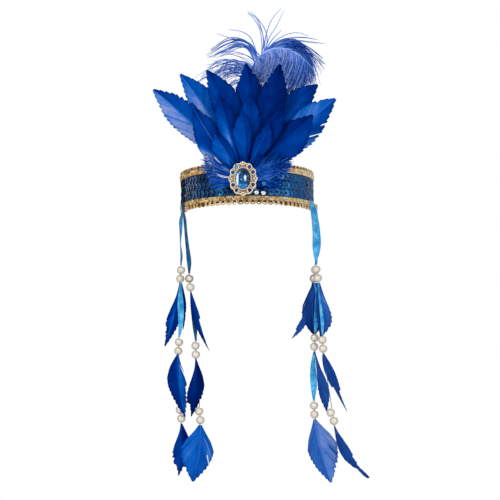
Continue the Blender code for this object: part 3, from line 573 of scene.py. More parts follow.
def build_feather(
    name, tables, halves, outline, dye_and_light, seed, pitch=6.3, deep=1.9, teeth_from=0.22, lean=1.8,
    late=(1.0, 1.0), quill_highlight=(0.0, 0.0), quill_highlight_at=0.5, quill_highlight_long=0.24, quill_highlight_wide=0.38,
    shading_patches=(), crease_shading=(), notches=(), splits=(),
):
    """Lay a grid along the quill's path and cut it to a feather. Sizes are in mm.

    Each vane has its own half width, tone, lateness and quill highlight, given left then
    right. The tone is the vane's dye together with the light painted on it. Lateness moves
    the widest place towards the tip. The quill highlight is a pale streak painted beside
    the quill, and a negative one paints shade there. Patches of painted light and shade,
    painted crease lines, notches and splits each start with a side, -1 or 1, and a place."""
    mid, side, face = tables
    luck = np.random.default_rng(100 + seed)
    table = np.linspace(0, 1, len(mid))
    length = lengths_along(mid)[-1] / MM
    edge_at, into, teeth = feather_rows(length, pitch)
    rows = len(edge_at) - 1
    bpy.ops.mesh.primitive_grid_add(x_subdivisions=COLUMNS, y_subdivisions=rows, size=1)
    vane = bpy.context.object
    flat = points_of(vane)
    row = np.rint((flat[:, 1] + 0.5) * rows).astype(int)
    over = flat[:, 0] * 2
    away = np.abs(over)
    right_side = (over > 0).astype(int)
    at_edge = edge_at[row]

    def of_side(values):
        """For each point its own vane's value, of one for the left and one for the right."""
        return np.array(values)[right_side]

    def on_side(which):
        return np.sign(over) == which

    # how wide each vane is, and where on the quill each row of barbs starts
    outline_at, outline_share = zip(*outline)
    share = np.interp(at_edge ** of_side(late), outline_at, outline_share)
    leaning = lean * np.interp(edge_at, outline_at, outline_share) * sum(halves) / 2 / length
    leaves = np.maximum.accumulate(np.maximum(edge_at - leaning, edge_at * 0.25))
    leaves[-1] = 1.0
    # the teeth, some bitten deeper, then bigger notches
    bite = luck.uniform(0.55, 1.15, (2, teeth + 1))
    bite[luck.random((2, teeth + 1)) > 0.85] *= 1.7
    tooth = np.minimum(row // len(TOOTH_STEPS), teeth)
    cut = bite[right_side, tooth] * deep * (1 - into[row]) * np.clip(share * 2.2, 0, 1)
    cut *= np.clip((at_edge - teeth_from) / 0.15, 0, 1)
    for which, start, size, run in notches:
        beyond = (at_edge - start) * length
        notch = size * np.clip(1 - beyond / run, 0, 1)
        cut += np.where(on_side(which) & (beyond > 0), notch, 0)
    wide = np.maximum(of_side(halves) * share - cut * away**3, 0.3)
    # the barbs lean forwards, and part at a split
    along = leaves[row] + (at_edge - leaves[row]) * away**1.15
    for which, start, reach, opening in splits:
        beyond = (at_edge - start) * length
        inside = np.clip((away - (1 - reach)) / reach, 0, 1) * on_side(which)
        push = np.where(beyond < 0, -1.0, 1.0) * opening * np.exp(-np.abs(beyond) / 8)
        along = along + push * inside / length
    along = np.clip(along, 0, 1)
    # the vane in space: waved along its length and drooping from the quill
    waves = luck.uniform(-1, 1, (2, rows + 9))
    waves = np.array([running_mean(wave, 9) for wave in waves])
    lift = waves[right_side, row] * 0.8 * away - DROOP * wide * away * (1 + 0.9 * away)
    sideways = between(along, table, side) * (over * wide)[:, None]
    forwards = between(along, table, face) * lift[:, None]
    move_points(vane, between(along, table, mid) + (sideways + forwards) * MM)
    # the tone: streaks, the painted highlight beside the quill, darker edge and tip, and
    # painted patches and crease lines of light and shade
    streaky = running_mean(luck.uniform(-1, 1, rows + 3), 3)[row]
    tone = of_side(dye_and_light) + streaky * 0.07 + 0.05 * (away - 0.5)
    highlight_along = np.exp(-(((at_edge - quill_highlight_at) / quill_highlight_long) ** 2))
    highlight_shape = np.exp(-((away / quill_highlight_wide) ** 2)) * highlight_along
    tone += of_side(quill_highlight) * highlight_shape
    tone -= 0.09 * np.clip((away - 0.8) / 0.2, 0, 1) * np.clip((at_edge - 0.35) / 0.2, 0, 1)
    tone -= 0.16 * np.clip((at_edge - 0.9) / 0.1, 0, 1)
    # painted light and shade: patches and crease lines that lighten or darken the tone
    for which, start, end, change in shading_patches:
        inside = np.clip((at_edge - start) / 0.06, 0, 1) * np.clip((end - at_edge) / 0.06, 0, 1)
        tone += change * inside * on_side(which)
    for which, start, reach, change in crease_shading:
        near = np.abs(at_edge - start) * length
        tone += change * np.exp(-((near / 1.3) ** 2)) * (away > 1 - reach) * on_side(which)
    # points on the quill line take the vanes' tone, lighter, with part of the painted highlight
    beside_quill = np.mean(dye_and_light) + 0.06 + max(quill_highlight) * 0.4 * highlight_shape
    store(vane.data, "tone", np.where(away < 0.01, beside_quill, tone))
    store_uv(vane.data, np.stack([at_edge * length, over * of_side(halves)], axis=1))
    cut_splits(vane, splits, edge_at)
    thicken(vane, VANE_THICKNESS)
    # the quill lies on the front and tapers to the tip
    down_the_quill = np.linspace(0, 0.985, QUILL_STEPS + 1)
    taper = np.interp(np.linspace(0, 1, QUILL_STEPS + 1), (0, 0.3, 1), (0.85, 0.6, 0.14)) * MM
    path = between(down_the_quill, table, mid)
    path += between(down_the_quill, table, face) * taper[:, None] * 0.35
    shaft = strands("shaft", quill_tube, [path], [taper], [0.5])
    # the quill is lighter than its vanes, with part of the painted highlight
    shaft_tone = min(1.0, np.mean(dye_and_light) + 0.12 + max(quill_highlight) * 0.3)
    store(shaft.data, "tone", np.full(len(shaft.data.vertices), shaft_tone))
    shaft.data.uv_layers.new(name="UVMap")
    return join(name, vane, shaft)


def cut_splits(vane, splits, edge_at):
    """Delete the faces of one row, from the edge inwards, so that the barbs part there."""
    if not splits:
        return
    pick(vane)
    bpy.ops.object.mode_set(mode="EDIT")
    bpy.ops.mesh.select_mode(type="FACE")
    bpy.ops.mesh.select_all(action="DESELECT")
    done_editing()
    for which, start, reach, _ in splits:
        split_row = int(np.argmin(np.abs(edge_at - start)))
        for column in range(COLUMNS):
            middle = (column + 0.5) / COLUMNS * 2 - 1
            if middle * which > 1 - reach:
                vane.data.polygons[split_row * COLUMNS + column].select = True
    bpy.ops.object.mode_set(mode="EDIT")
    bpy.ops.mesh.delete(type="FACE")
    done_editing()


# %% [markdown]
# ## The fan
# Fifteen feathers stand up from behind the brooch in six layers. Each row below says
# where a feather's tip is seen from the front, how its quill bows, how wide its two
# vanes are and how pale each is, its dye and painted light together. All quills meet
# behind the brooch.
# %% Fan feathers
# the height of the brooch's middle, where all quills meet, and the depth of the rearmost layer
BROOCH_Z, FAN_BACK_Y = 28.0, -98.2
QUILL_POINTS = 60
FAN_OUTLINE = [
    (0.0, 0.05), (0.13, 0.12), (0.30, 0.46), (0.43, 0.76), (0.57, 0.95),
    (0.68, 1.0), (0.78, 0.88), (0.865, 0.62), (0.935, 0.36), (0.98, 0.16), (1.0, 0.07),
]
# painted light: both vanes of the front feathers are made paler at the foot, beside the brooch
PAINTED_LIGHT_AT_FOOT = [(side, -0.1, 0.34, 0.13) for side in (-1, 1)]
# node: layer, tip x, tip z, bow, widths left and right, tone left and right (dye with
# painted light), then what is special about this one
FAN = {
    "fan_back_1": (1, -105.5, 139, 3, (18, 20), (0.97, 0.55), dict(
        lean=2.3, quill_highlight=(0.0, 0.12), quill_highlight_at=0.7, notches=[(1, 0.70, 3.0, 18)],
        crease_shading=[(-1, 0.80, 0.9, -0.2), (-1, 0.70, 0.6, -0.14), (-1, 0.9, 0.8, -0.12)])),
    "fan_back_2": (0, -74, 157, 4, (14, 20), (0.8, 0.66), dict(
        quill_highlight=(0.26, 0.0), quill_highlight_at=0.66, quill_highlight_wide=0.6, crease_shading=[(-1, 0.72, 0.7, -0.2)])),
    "fan_back_3": (2, -41.5, 156.5, 6, (14, 22), (0.52, 0.4), dict(
        quill_highlight=(-0.4, 0.0), quill_highlight_at=0.58, quill_highlight_long=0.15, quill_highlight_wide=1.6)),
    "fan_back_4": (1, 4, 164.5, 6, (19, 19), (0.44, 0.28), dict(quill_highlight=(0.08, 0.16), quill_highlight_at=0.8)),
    "fan_back_5": (2, 44, 162.5, 1, (15, 20), (0.3, 0.22), dict(quill_highlight=(0.0, 0.24), quill_highlight_at=0.6)),
    "fan_back_6": (0, 87, 142, -7, (18, 19), (0.36, 0.42), dict(
        late=(1.35, 1.0), quill_highlight=(0.0, 0.22), quill_highlight_at=0.78, shading_patches=[(-1, 0.62, 0.97, 0.14)],
        splits=[(1, 0.52, 0.7, 0.8)])),
    "fan_back_7": (1, 107.5, 124.2, 0, (19, 22.5), (0.78, 0.58), dict(
        late=(1.3, 0.74), quill_highlight=(0.1, 0.3), quill_highlight_at=0.72,
        shading_patches=[(-1, 0.0, 0.58, -0.35), (1, 0.48, 0.7, 0.28)],
        splits=[(1, 0.70, 0.5, 0.2), (1, 0.79, 0.2, 0.1)])),
    "fan_middle_1": (3, -57, 112, -3, (19.5, 15), (0.48, 0.44), dict(
        late=(0.64, 1.0), quill_highlight=(1.0, 0.0), quill_highlight_at=0.47, quill_highlight_long=0.1, quill_highlight_wide=1.8,
        teeth_from=0.5, shading_patches=[(-1, 0.24, 0.62, 0.12)],
        crease_shading=[(-1, 0.46, 0.8, -0.3), (-1, 0.53, 0.6, -0.24)])),
    "fan_middle_2": (4, -27, 126, 0, (13, 12), (0.42, 0.3), dict(
        quill_highlight=(0.52, 0.0), quill_highlight_at=0.64, quill_highlight_long=0.16, quill_highlight_wide=0.6)),
    "fan_middle_3": (3, 8, 127, 2, (13, 15), (0.46, 0.42), dict(quill_highlight=(0.0, 0.12))),
    "fan_middle_4": (4, 49, 110, -1, (13, 13), (0.24, 0.3), dict(
        quill_highlight=(0.2, 0.0), quill_highlight_at=0.6, quill_highlight_wide=0.2)),
    "fan_middle_5": (3, 81, 102, 0, (15, 23), (0.27, 0.45), dict(
        late=(1.0, 0.8), quill_highlight=(0.0, 0.2), quill_highlight_at=0.4)),
    "fan_front_1": (5, -32, 80, 0, (14, 9), (0.64, 0.42), dict(
        quill_highlight=(0.36, 0.0), quill_highlight_wide=0.35, shading_patches=PAINTED_LIGHT_AT_FOOT)),
    "fan_front_2": (5, 0, 106, 3, (15, 9), (0.5, 0.4), dict(
        quill_highlight=(0.3, 0.0), quill_highlight_at=0.45, quill_highlight_long=0.4, quill_highlight_wide=0.12, shading_patches=PAINTED_LIGHT_AT_FOOT)),
    "fan_front_3": (5, 31, 91, 1, (9, 12), (0.42, 0.42), dict(
        quill_highlight=(0.34, 0.0), quill_highlight_at=0.6, quill_highlight_wide=0.2, shading_patches=PAINTED_LIGHT_AT_FOOT)),
}


def layer_depth(layer, x, z):
    """How far forward a layer of the fan lies at a place seen from the front, in mm."""
    reach = np.hypot(x, z - BROOCH_Z)
    spacing = 1.15 + 0.011 * reach + 0.045 * np.maximum(0.0, reach - 20)
    return FAN_BACK_Y - layer * spacing + 12 * (x / 100) ** 2 + 6 * (reach / 100) ** 2


def fan_tables(layer, tip_x, tip_z, bow):
    """The quill's path, and the ways to the side and to the front along it."""
    middle, tip = np.array([0.0, BROOCH_Z]), np.array([tip_x, tip_z], dtype=float)
    way = (tip - middle) / np.linalg.norm(tip - middle)
    root = middle + way * 6
    hand = np.array([way[1], -way[0]])
    t = np.linspace(0, 1, QUILL_POINTS)[:, None]
    flat = root + (tip - root) * t + hand * bow * 4 * t * (1 - t)
    x, z = flat.T
    mid = np.stack([x, layer_depth(layer, x, z), z], axis=1) * MM
    step = np.gradient(mid, axis=0)
    side = np.stack([step[:, 2], np.zeros(QUILL_POINTS), -step[:, 0]], axis=1)
    side /= np.linalg.norm(side, axis=1, keepdims=True)
    return mid, side, np.tile((0.0, -1.0, 0.0), (QUILL_POINTS, 1))


fan_triangles = 0
for number, (node, row) in enumerate(FAN.items()):
    layer, tip_x, tip_z, bow, halves, dye_and_light, special = row
    tables = fan_tables(layer, tip_x, tip_z, bow)
    piece = build_feather(node + "_vane", tables, halves, FAN_OUTLINE, dye_and_light, number, **special)
    dress(piece, blue_feather, "feather", node)
    fan_triangles += triangles(piece)
print("fan feathers:", len(FAN), "triangles:", fan_triangles)

# %% [markdown]
# ## The plume
# One ostrich feather stands behind the fan: a bare quill that curls over to the right,
# with hundreds of long limp barbs. They are too many to place by hand, so a table of
# their tips along the quill is filled in between its rows, and each barb hangs in its
# own slightly different arc.
# %% Plume
# the depth of the plume's middle, and how near its low barbs may come to the fan
PLUME_Y, BEHIND_FAN = -83.0, -77.0
# x, y, z and radius
PLUME_QUILL = [
    (4.5, -97.8, 42, 1.1), (5, -97.8, 52, 1.1), (6, -94.3, 70, 1.5), (7.5, -89, 100, 1.5),
    (8.5, -85.5, 130, 1.5), (11, -83.5, 160, 1.5), (16, -83, 172, 1.4), (26, -83, 181, 1.4),
    (38, -83, 185, 1.3), (52, -83, 184, 1.2), (66, -82, 176, 1.1), (78, -81, 165, 1.0),
    (85, -80, 152, 0.9),
]
# place along the quill, x and z that the arc bends by, x and z of the tip, dye
PLUME_ARCS = [
    (0.575, 9, 206, -35, 186, 0.7), (0.60, 5, 211, -38, 178, 0.62), (0.615, 5, 200, -29, 176, 0.6),
    (0.63, 1, 204, -34, 172, 0.66),
]
PLUME_LEFT = [
    (0.42, -4, 146, -28, 128, 0.6), (0.46, 1, 155, -26, 139, 0.8), (0.50, -8, 165, -44, 142, 0.7),
    (0.53, -13, 173, -60, 145, 0.52), (0.55, -10, 182, -60, 154, 0.54), (0.57, -10, 188, -54, 165, 0.52),
    (0.585, -5, 191, -47, 176, 0.56),
]
PLUME_CROSSED = [
    (0.47, -14, 172, -26, 136, 0.76), (0.52, -24, 180, -40, 142, 0.6), (0.56, -32, 184, -50, 150, 0.56),
]
PLUME_OVER = [
    (0.64, 64, 224, 89, 153, 0.56), (0.70, 72, 212, 86, 145, 0.48), (0.74, 78, 198, 79, 139, 0.46),
    (0.80, 78, 177, 70, 135, 0.54),
]
PLUME_UNDER = [
    (0.54, 14, 158, 22, 146, 0.82), (0.58, 18, 170, 32, 143, 0.76), (0.62, 28, 177, 43, 148, 0.68),
    (0.66, 42, 182, 58, 150, 0.6), (0.72, 57, 181, 65, 140, 0.5), (0.80, 69, 176, 70, 136, 0.44),
    (0.90, 76, 164, 70, 134, 0.46),
]
PLUME_BELOW = [
    (0.54, 12, 158, 10, 140, 0.94), (0.62, 28, 172, 10, 139, 0.92), (0.68, 44, 177, 16, 132, 0.84),
    (0.74, 62, 177, 26, 127, 0.74), (0.82, 73, 170, 43, 125, 0.56), (0.92, 77, 155, 58, 125, 0.5),
]
# barbs that are combed aside, in front of the others under the arch
PLUME_ASIDE = [
    (0.64, 32, 168, 5, 160, 0.9), (0.70, 44, 166, 9, 150, 0.84), (0.76, 58, 162, 17, 141, 0.78),
    (0.84, 68, 154, 36, 132, 0.7),
]
# single long strands seen against the background: points (x, z), dye and how many lie together
PLUME_STRANDS = [
    ([(21.4, 176.0), (23.0, 190.0), (19.3, 206.9), (6.6, 228.0)], 0.7, 1),
    ([(22.0, 177.0), (25.0, 192.0), (21.1, 210.4), (14.8, 222.3), (6.0, 227.6)], 0.66, 2),
    ([(23.0, 178.0), (27.6, 190.0), (26.3, 206.8), (19.5, 220.4), (8.5, 229.2)], 0.7, 1),
    ([(25.0, 180.0), (28.0, 200.8), (34.7, 217.3), (45.9, 230.0)], 0.66, 1),
    ([(26.5, 182.2), (31.5, 197.2), (40.5, 212.4), (48.0, 230.3)], 0.66, 1),
    ([(27.4, 183.7), (34.4, 194.7), (45.1, 207.0)], 0.72, 1),
    ([(17.5, 174.8), (14.0, 188.0), (8.7, 198.8), (-3.0, 206.2), (-16.4, 207.6)], 0.72, 1),
    ([(17.4, 174.2), (10.0, 190.0), (0.4, 194.2), (-13.6, 196.8), (-28.8, 202.5)], 0.76, 1),
    ([(17.0, 174.3), (10.0, 189.0), (0.4, 195.4), (-12.4, 195.6), (-37.1, 183.6)], 0.55, 4),
    ([(15.8, 171.3), (8.0, 190.0), (-3.0, 195.0), (-18.4, 190.6), (-42.1, 176.6)], 0.6, 3),
    ([(14.2, 168.4), (4.0, 186.0), (-6.1, 187.5), (-18.5, 184.1), (-38.4, 174.3)], 0.58, 3),
    ([(28.1, 184.4), (42.0, 196.0), (53.2, 200.5), (63.7, 202.3), (77.1, 199.8)], 0.66, 1),
    ([(29.6, 185.3), (43.7, 194.2), (70.7, 196.4), (87.0, 194.3)], 0.56, 2),
    ([(34.3, 185.2), (61.3, 194.0), (73.0, 192.8), (95.7, 189.4)], 0.58, 2),
    ([(43.6, 185.0), (67.1, 190.3), (80.7, 182.2), (93.4, 171.6)], 0.4, 3),
    ([(49.5, 184.9), (70.5, 186.5), (84.1, 175.0), (95.6, 165.7)], 0.3, 3),
    ([(53.0, 182.5), (74.8, 179.7), (85.2, 171.4), (94.7, 158.9)], 0.3, 3),
]
quill = curve_through(np.array(PLUME_QUILL) * MM, 200)


def plume_barbs(table, count, scatter, wavy, shortest, deep=7):
    """Barbs between the rows of a table. Each sets out from the quill and bends once.

    In mm, their tips are scattered, they are wavy, and they spread in depth."""
    table = np.array(table, dtype=float)
    along = luck.uniform(table[0, 0], table[-1, 0], count)
    bend_x, bend_z, tip_x, tip_z, dye_and_light = between(along, table[:, 0], table[:, 1:]).T
    root = between(along, np.linspace(0, 1, len(quill)), quill[:, :3])
    spread = luck.normal(0, deep, count)
    # low barbs stay behind the fan
    back = np.where(tip_z < 160, BEHIND_FAN + np.abs(spread), PLUME_Y + 1 + spread)
    bend = np.stack([bend_x, (back + PLUME_Y) / 2, bend_z], axis=1) * MM
    tip = np.stack([tip_x, back, tip_z], axis=1) * MM
    bend += luck.normal(0, scatter * 0.7 * MM, (count, 3))
    tip += luck.normal(0, scatter * MM, (count, 3))
    reach = luck.uniform(shortest, 1.0, count) ** 0.7
    t = np.linspace(0, 1, BARB_STEPS + 1)[None]
    paths = bezier(root, bend, tip, t * reach[:, None])
    sway = np.sin(t * luck.uniform(5, 13, (count, 1)) + luck.uniform(0, 6.3, (count, 1)))
    amount = luck.uniform(0.3, 1.0, (count, 1)) * wavy * MM * t**0.7
    paths[..., 0] += sway * amount * 0.6
    paths[..., 2] += sway * amount
    return paths, dye_and_light + luck.normal(0, 0.2, count)


def barb_material(name, dye_and_light, scale, uneven):
    """A dull finish where the shade of each barb picks its dye, moved a little by clouds."""
    made, tree, shader = material(name, Roughness=0.8, Specular_IOR_Level=0.0)
    clouded = math_node(tree, "MULTIPLY_ADD", mottle(tree, scale), uneven, attribute(tree, "shade"))
    tone = math_node(tree, "SUBTRACT", clouded, uneven / 2, clamp=True)
    feed(tree, shader, {"Base Color": ramp(tree, tone, dye_and_light)})
    return made, tree, shader


luck = np.random.default_rng(21)
families = [
    plume_barbs(PLUME_ARCS, 14, 1.8, 0.5, 0.7, 4),
    plume_barbs(PLUME_LEFT, 40, 4.0, 2.4, 0.6),
    plume_barbs(PLUME_CROSSED, 34, 7.0, 3.6, 0.6),
    plume_barbs(PLUME_OVER, 130, 2.4, 0.7, 0.8),
    plume_barbs(PLUME_UNDER, 170, 2.6, 2.2, 0.7),
    plume_barbs(PLUME_BELOW, 370, 3.0, 3.4, 0.78),
    plume_barbs(PLUME_ASIDE, 70, 3.6, 3.6, 0.6, 1.0),
]
loose, loose_dye = [], []
for points, dye_and_light, together in PLUME_STRANDS:
    line = np.array([(x, PLUME_Y, z) for x, z in points]) * MM
    for _ in range(together):
        apart = np.linspace(0.3, 1.0, len(line))[:, None]
        shifted = line + luck.normal(0, 0.9 * MM, line.shape) * apart
        shifted[:, 1] += luck.normal(0, 2.5 * MM) * np.linspace(0, 1, len(line))
        loose.append(curve_through(shifted, BARB_STEPS))
        loose_dye.append(dye_and_light - 0.1 + luck.normal(0, 0.07))
families.append((np.array(loose), np.array(loose_dye)))
barb_paths = np.concatenate([paths for paths, _ in families])
barb_dye = np.clip(np.concatenate([dye_and_light for _, dye_and_light in families]), 0, 1)
t = np.linspace(0, 1, BARB_STEPS + 1)
barb_radii = luck.uniform(0.4, 0.66, (len(barb_paths), 1)) * MM * (1 - 0.6 * t[None] ** 2)
barb_radii[-len(loose):] *= 1.3
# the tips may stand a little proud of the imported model
proud = np.array([2.0, 4.0, 2.0]) * MM
barb_paths = np.clip(barb_paths, np.array(cad_low) - proud, np.array(cad_high) + proud)
plume = strands("plume_barbs", barb, barb_paths, barb_radii, barb_dye)
spine_points = curve_through(np.array(PLUME_QUILL) * MM, QUILL_STEPS)
spine = strands("plume_quill", quill_tube, [spine_points[:, :3]], [spine_points[:, 3] * 0.55], [0.95])
# the quill is dark where it rises, and a painted highlight makes it pale where it arches over
up_the_quill = points_of(quill_tube)[:, 2]
quill_colour_and_highlight = np.interp(up_the_quill, (0.0, 0.56, 0.64, 0.8, 1.0), (0.0, 0.05, 1.1, 1.1, 0.5))
store(spine.data, "shade", quill_colour_and_highlight)

PLUME_DYE = [
    (0.0, 6, 50, 148), (0.3, 40, 94, 194), (0.55, 94, 140, 220), (0.8, 122, 158, 234),
    (1.0, 174, 190, 238),
]
plume_finish, tree, shader = barb_material("plume_barb", PLUME_DYE, 140.0, 0.16)
feed(tree, shader, {"Normal": bump(tree, noise(tree, 900.0), 0.5, 0.0003)})
plume = join("plume_barbs", plume, spine)
dress(plume, plume_finish, "plume", "plume")
print("plume barbs:", len(barb_paths), "triangles:", triangles(plume))

# %% [markdown]
# ## The ring's own coordinates
# The band is a flat strip bent into an oval. Everything sewn on it is spaced along the
# strip, so places are given as a length along the arc, a height and a distance out
# from the braid, and turned into points on the oval.
# %% Measure along the band
HALF_WIDTH, HALF_DEPTH = 80.0, 97.0
turns = np.linspace(0, math.pi, 721)
arc = lengths_along(np.stack([HALF_WIDTH * np.sin(turns), HALF_DEPTH * np.cos(turns)], axis=1))
# the band ends where it is joined to the elastic, a little behind the widest place
BAND_END = float(np.interp(math.radians(101), turns, arc))
PICOTS = 44
PITCH = 2 * BAND_END / PICOTS


def on_level(x, y):
    return np.stack([x, y, np.zeros_like(x)], axis=-1)


def ring_frame(along):
    """For lengths along the braid (mm): the points, the ways ahead and the ways outwards."""
    angle = np.copysign(np.interp(np.abs(along), arc, turns), along)
    place = on_level(HALF_WIDTH * np.sin(angle), -HALF_DEPTH * np.cos(angle))
    out = on_level(np.sin(angle) / HALF_WIDTH, -np.cos(angle) / HALF_DEPTH)
    out /= np.linalg.norm(out, axis=-1, keepdims=True)
    ahead = on_level(-out[..., 1], out[..., 0])
    return place, ahead, out


def ring_place(along, out, z, spin=0.0, tilt=0.0, lean=0.0, size=1.0):
    """A matrix that sets a flat model on the band: its x along, its y up, its z outwards."""
    place, ahead, outward = ring_frame(np.array([float(along)]))
    axes = Matrix(np.stack([ahead[0], (0, 0, 1), outward[0]], axis=1).tolist()).to_4x4()
    turn = Matrix.Rotation(lean, 4, "Y") @ Matrix.Rotation(tilt, 4, "X") @ Matrix.Rotation(spin, 4, "Z")
    middle = (Vector(place[0]) + Vector(outward[0]) * out + Vector((0, 0, z))) * MM
    return Matrix.Translation(middle) @ axes @ turn @ Matrix.Scale(size, 4)


print("band half length:", round(BAND_END, 2), "mm, pitch:", round(PITCH, 3), "mm")

# %% [markdown]
# ## Sequins
# The band is covered with three rows of cup sequins: thin discs with a raised rim and
# a hole in the middle, each lapping over the next. One disc is modelled from a circle
# by insetting and moving its rings; the rest are copies, each tilted a little as its
# thread would tilt it, which is what makes a row glitter unevenly.
# %% Sequins
SEQUIN_RADIUS = 4.9 * MM
# each ring of the disc: how far in from the last one, and how far it sinks, in mm
SEQUIN_RINGS = [(1.35, 0.4), (1.5, 0.1), (0.9, 0.0)]
bpy.ops.mesh.primitive_circle_add(vertices=14, radius=SEQUIN_RADIUS, fill_type="NGON")
sequin = bpy.context.object
select_all_of(sequin)
for inwards, sunk in SEQUIN_RINGS:
    bpy.ops.mesh.inset(thickness=inwards * MM)
    bpy.ops.transform.translate(value=(0, 0, -sunk * MM))
bpy.ops.mesh.delete(type="FACE")
done_editing()
print("sequin faces:", len(sequin.data.polygons))

ROWS = [15.2, 24.75, 34.3]
ROW_MARGIN = 3.2
LOST_SEQUINS = {(0, 39), (1, 36)}  # their rows and places in the row
PAINTED_GLINT_PLACES = range(8, 13)  # the places in a row whose rims get a painted glint of the light on the left
places, shades, painted_glints = [], [], []
luck = np.random.default_rng(5)
for line, z in enumerate(ROWS):
    for i in range(PICOTS + 1):
        step = (i + 0.25 * (line % 2)) / (PICOTS + 0.25)
        along = -BAND_END + ROW_MARGIN + 2 * (BAND_END - ROW_MARGIN) * step
        tilt, lean = luck.normal(0, 0.10), luck.normal(-0.13, 0.07)
        place = ring_place(along, -1.05, z + luck.normal(0, 0.25), luck.uniform(0, 6.3), tilt, lean)
        shade = luck.uniform(0, 0.75) * (0.7 if along > 25 else 1.0)  # painted shade: the film is duller on the right
        if (line, i) not in LOST_SEQUINS:
            places.append(place)
            shades.append(shade)
            painted_glints.append(i in PAINTED_GLINT_PLACES)
# three loose ones lie flat on the down beside the brooch, with a painted reflection:
# their film is white and pale blue
for x, z, shade in ((15.5, 11.3, 1.0), (23.5, 10.5, 0.97), (24.2, 21.5, 0.86)):
    flat = Matrix.Translation((x * MM, -112.6 * MM, z * MM)) @ Matrix.Rotation(math.pi / 2, 4, "X")
    places.append(flat @ Matrix.Scale(0.47, 4))
    shades.append(shade)
    painted_glints.append(False)
sequins = copies("sequins", sequin, places, shades)
# painted glint: the rims at these places take the white top of the film ramp
on_rim = np.linalg.norm(points_of(sequin)[:, :2], axis=1) > 0.9 * SEQUIN_RADIUS
painted_rim_glint = np.array(painted_glints)[:, None] & on_rim
store(sequins.data, "shade", np.where(painted_rim_glint, 1.0, np.array(shades)[:, None]))
thicken(sequins, 0.12, -1.0)

# the film's blues, and at the top the white of the painted glints and reflections
FILM_AND_PAINTED_GLINT = [
    (0.0, 0, 64, 118), (0.4, 2, 92, 152), (0.75, 10, 118, 172), (0.86, 60, 130, 190),
    (0.95, 250, 250, 252),
]
sequin_film, tree, shader = material(
    "sequin_film", Metallic=0.7, Roughness=0.24, Specular_IOR_Level=0.4, Coat_Weight=0.2,
    Coat_Roughness=0.08,
)
facing = add(tree, "LayerWeight", {"Blend": 0.35}).outputs["Facing"]
film = mix(tree, facing, ramp(tree, attribute(tree, "shade"), FILM_AND_PAINTED_GLINT), srgb(12, 62, 120))
feed(tree, shader, {"Base Color": film, "Normal": bump(tree, noise(tree, 700.0, 3.0), 0.15, 0.0002)})
dress(sequins, sequin_film, "sequins")
print("sequins:", len(places), "triangles:", triangles(sequins))

# %% [markdown]
# ## Cloth under the sequins
# Under the sequins the cloth itself is navy and closely knitted, and the elastic behind
# is a plain ribbed strip. Their CAD solids are the right shape, so only their finish is
# made here.
# %% Band cloth and elastic
def ribbed_cloth(name, colour, dark, around, upright, depth):
    """Cloth with fine ribs: a wave in each direction, in object coordinates."""
    made, tree, shader = material(name, Roughness=0.85, Specular_IOR_Level=0.2, Sheen_Weight=0.2)
    waves = []
    for scale, direction in ((upright, "Z"), (around, "X")):
        inputs = {"Vector": object_place(tree), "Scale": scale, "Distortion": 0.6}
        waves.append(add(tree, "TexWave", inputs, bands_direction=direction).outputs["Fac"])
    knit = math_node(tree, "MULTIPLY", *waves)
    cloud = math_node(tree, "MULTIPLY", mottle(tree, 90.0), 0.4)
    mixed = math_node(tree, "MULTIPLY_ADD", knit, 0.6, cloud)
    colours = ramp(tree, mixed, [(0.0, *dark), (1.0, *colour)])
    feed(tree, shader, {"Base Color": colours, "Normal": bump(tree, knit, 0.6, depth)})
    return made


band_cloth = ribbed_cloth("band_cloth", (14, 30, 74), (3, 8, 28), 380.0, 380.0, 0.0004)
elastic_cloth = ribbed_cloth("elastic_cloth", (22, 26, 58), (6, 8, 24), 240.0, 620.0, 0.0006)
for node, finish in {"sequin_band": band_cloth, "back_elastic": elastic_cloth}.items():
    for slot_number in range(len(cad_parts[node].data.materials)):
        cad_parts[node].data.materials[slot_number] = finish
print("carried over with new cloth: sequin_band, back_elastic")

# %% [markdown]
# ## Gold braid
# The trim is a flat gimp braid: two slanted rows of metal thread between fine cords,
# and along one edge a row of loops, called picots, turned from a thicker cord. One
# stitch and one picot are modelled; the band's length decides how many there are.
# %% Braid parts
STITCH_STEP = 2.1
bpy.ops.mesh.primitive_torus_add(
    major_segments=18, minor_segments=6, major_radius=1.0, minor_radius=0.34
)
picot = bpy.context.object
select_all_of(picot)
bpy.ops.mesh.bisect(plane_co=(0, 0.62, 0), plane_no=(0, 1, 0), clear_outer=True, use_fill=True)
done_editing()

bpy.ops.mesh.primitive_cylinder_add(vertices=6, radius=0.5, depth=1, end_fill_type="TRIFAN")
stitch = bpy.context.object
select_all_of(stitch)
bpy.ops.mesh.bisect(plane_co=(0, 0, 0), plane_no=(0, 0, 1))
bpy.ops.transform.resize(value=(1.5, 1.5, 1.0))
done_editing()
stitch.rotation_euler = (math.pi / 2, 0, 0)
settle(stitch)
print("picot faces:", len(picot.data.polygons), "stitch faces:", len(stitch.data.polygons))


def shaped(matrix, wide, high, deep):
    return matrix @ Matrix.Diagonal((wide * MM, high * MM, deep * MM, 1))


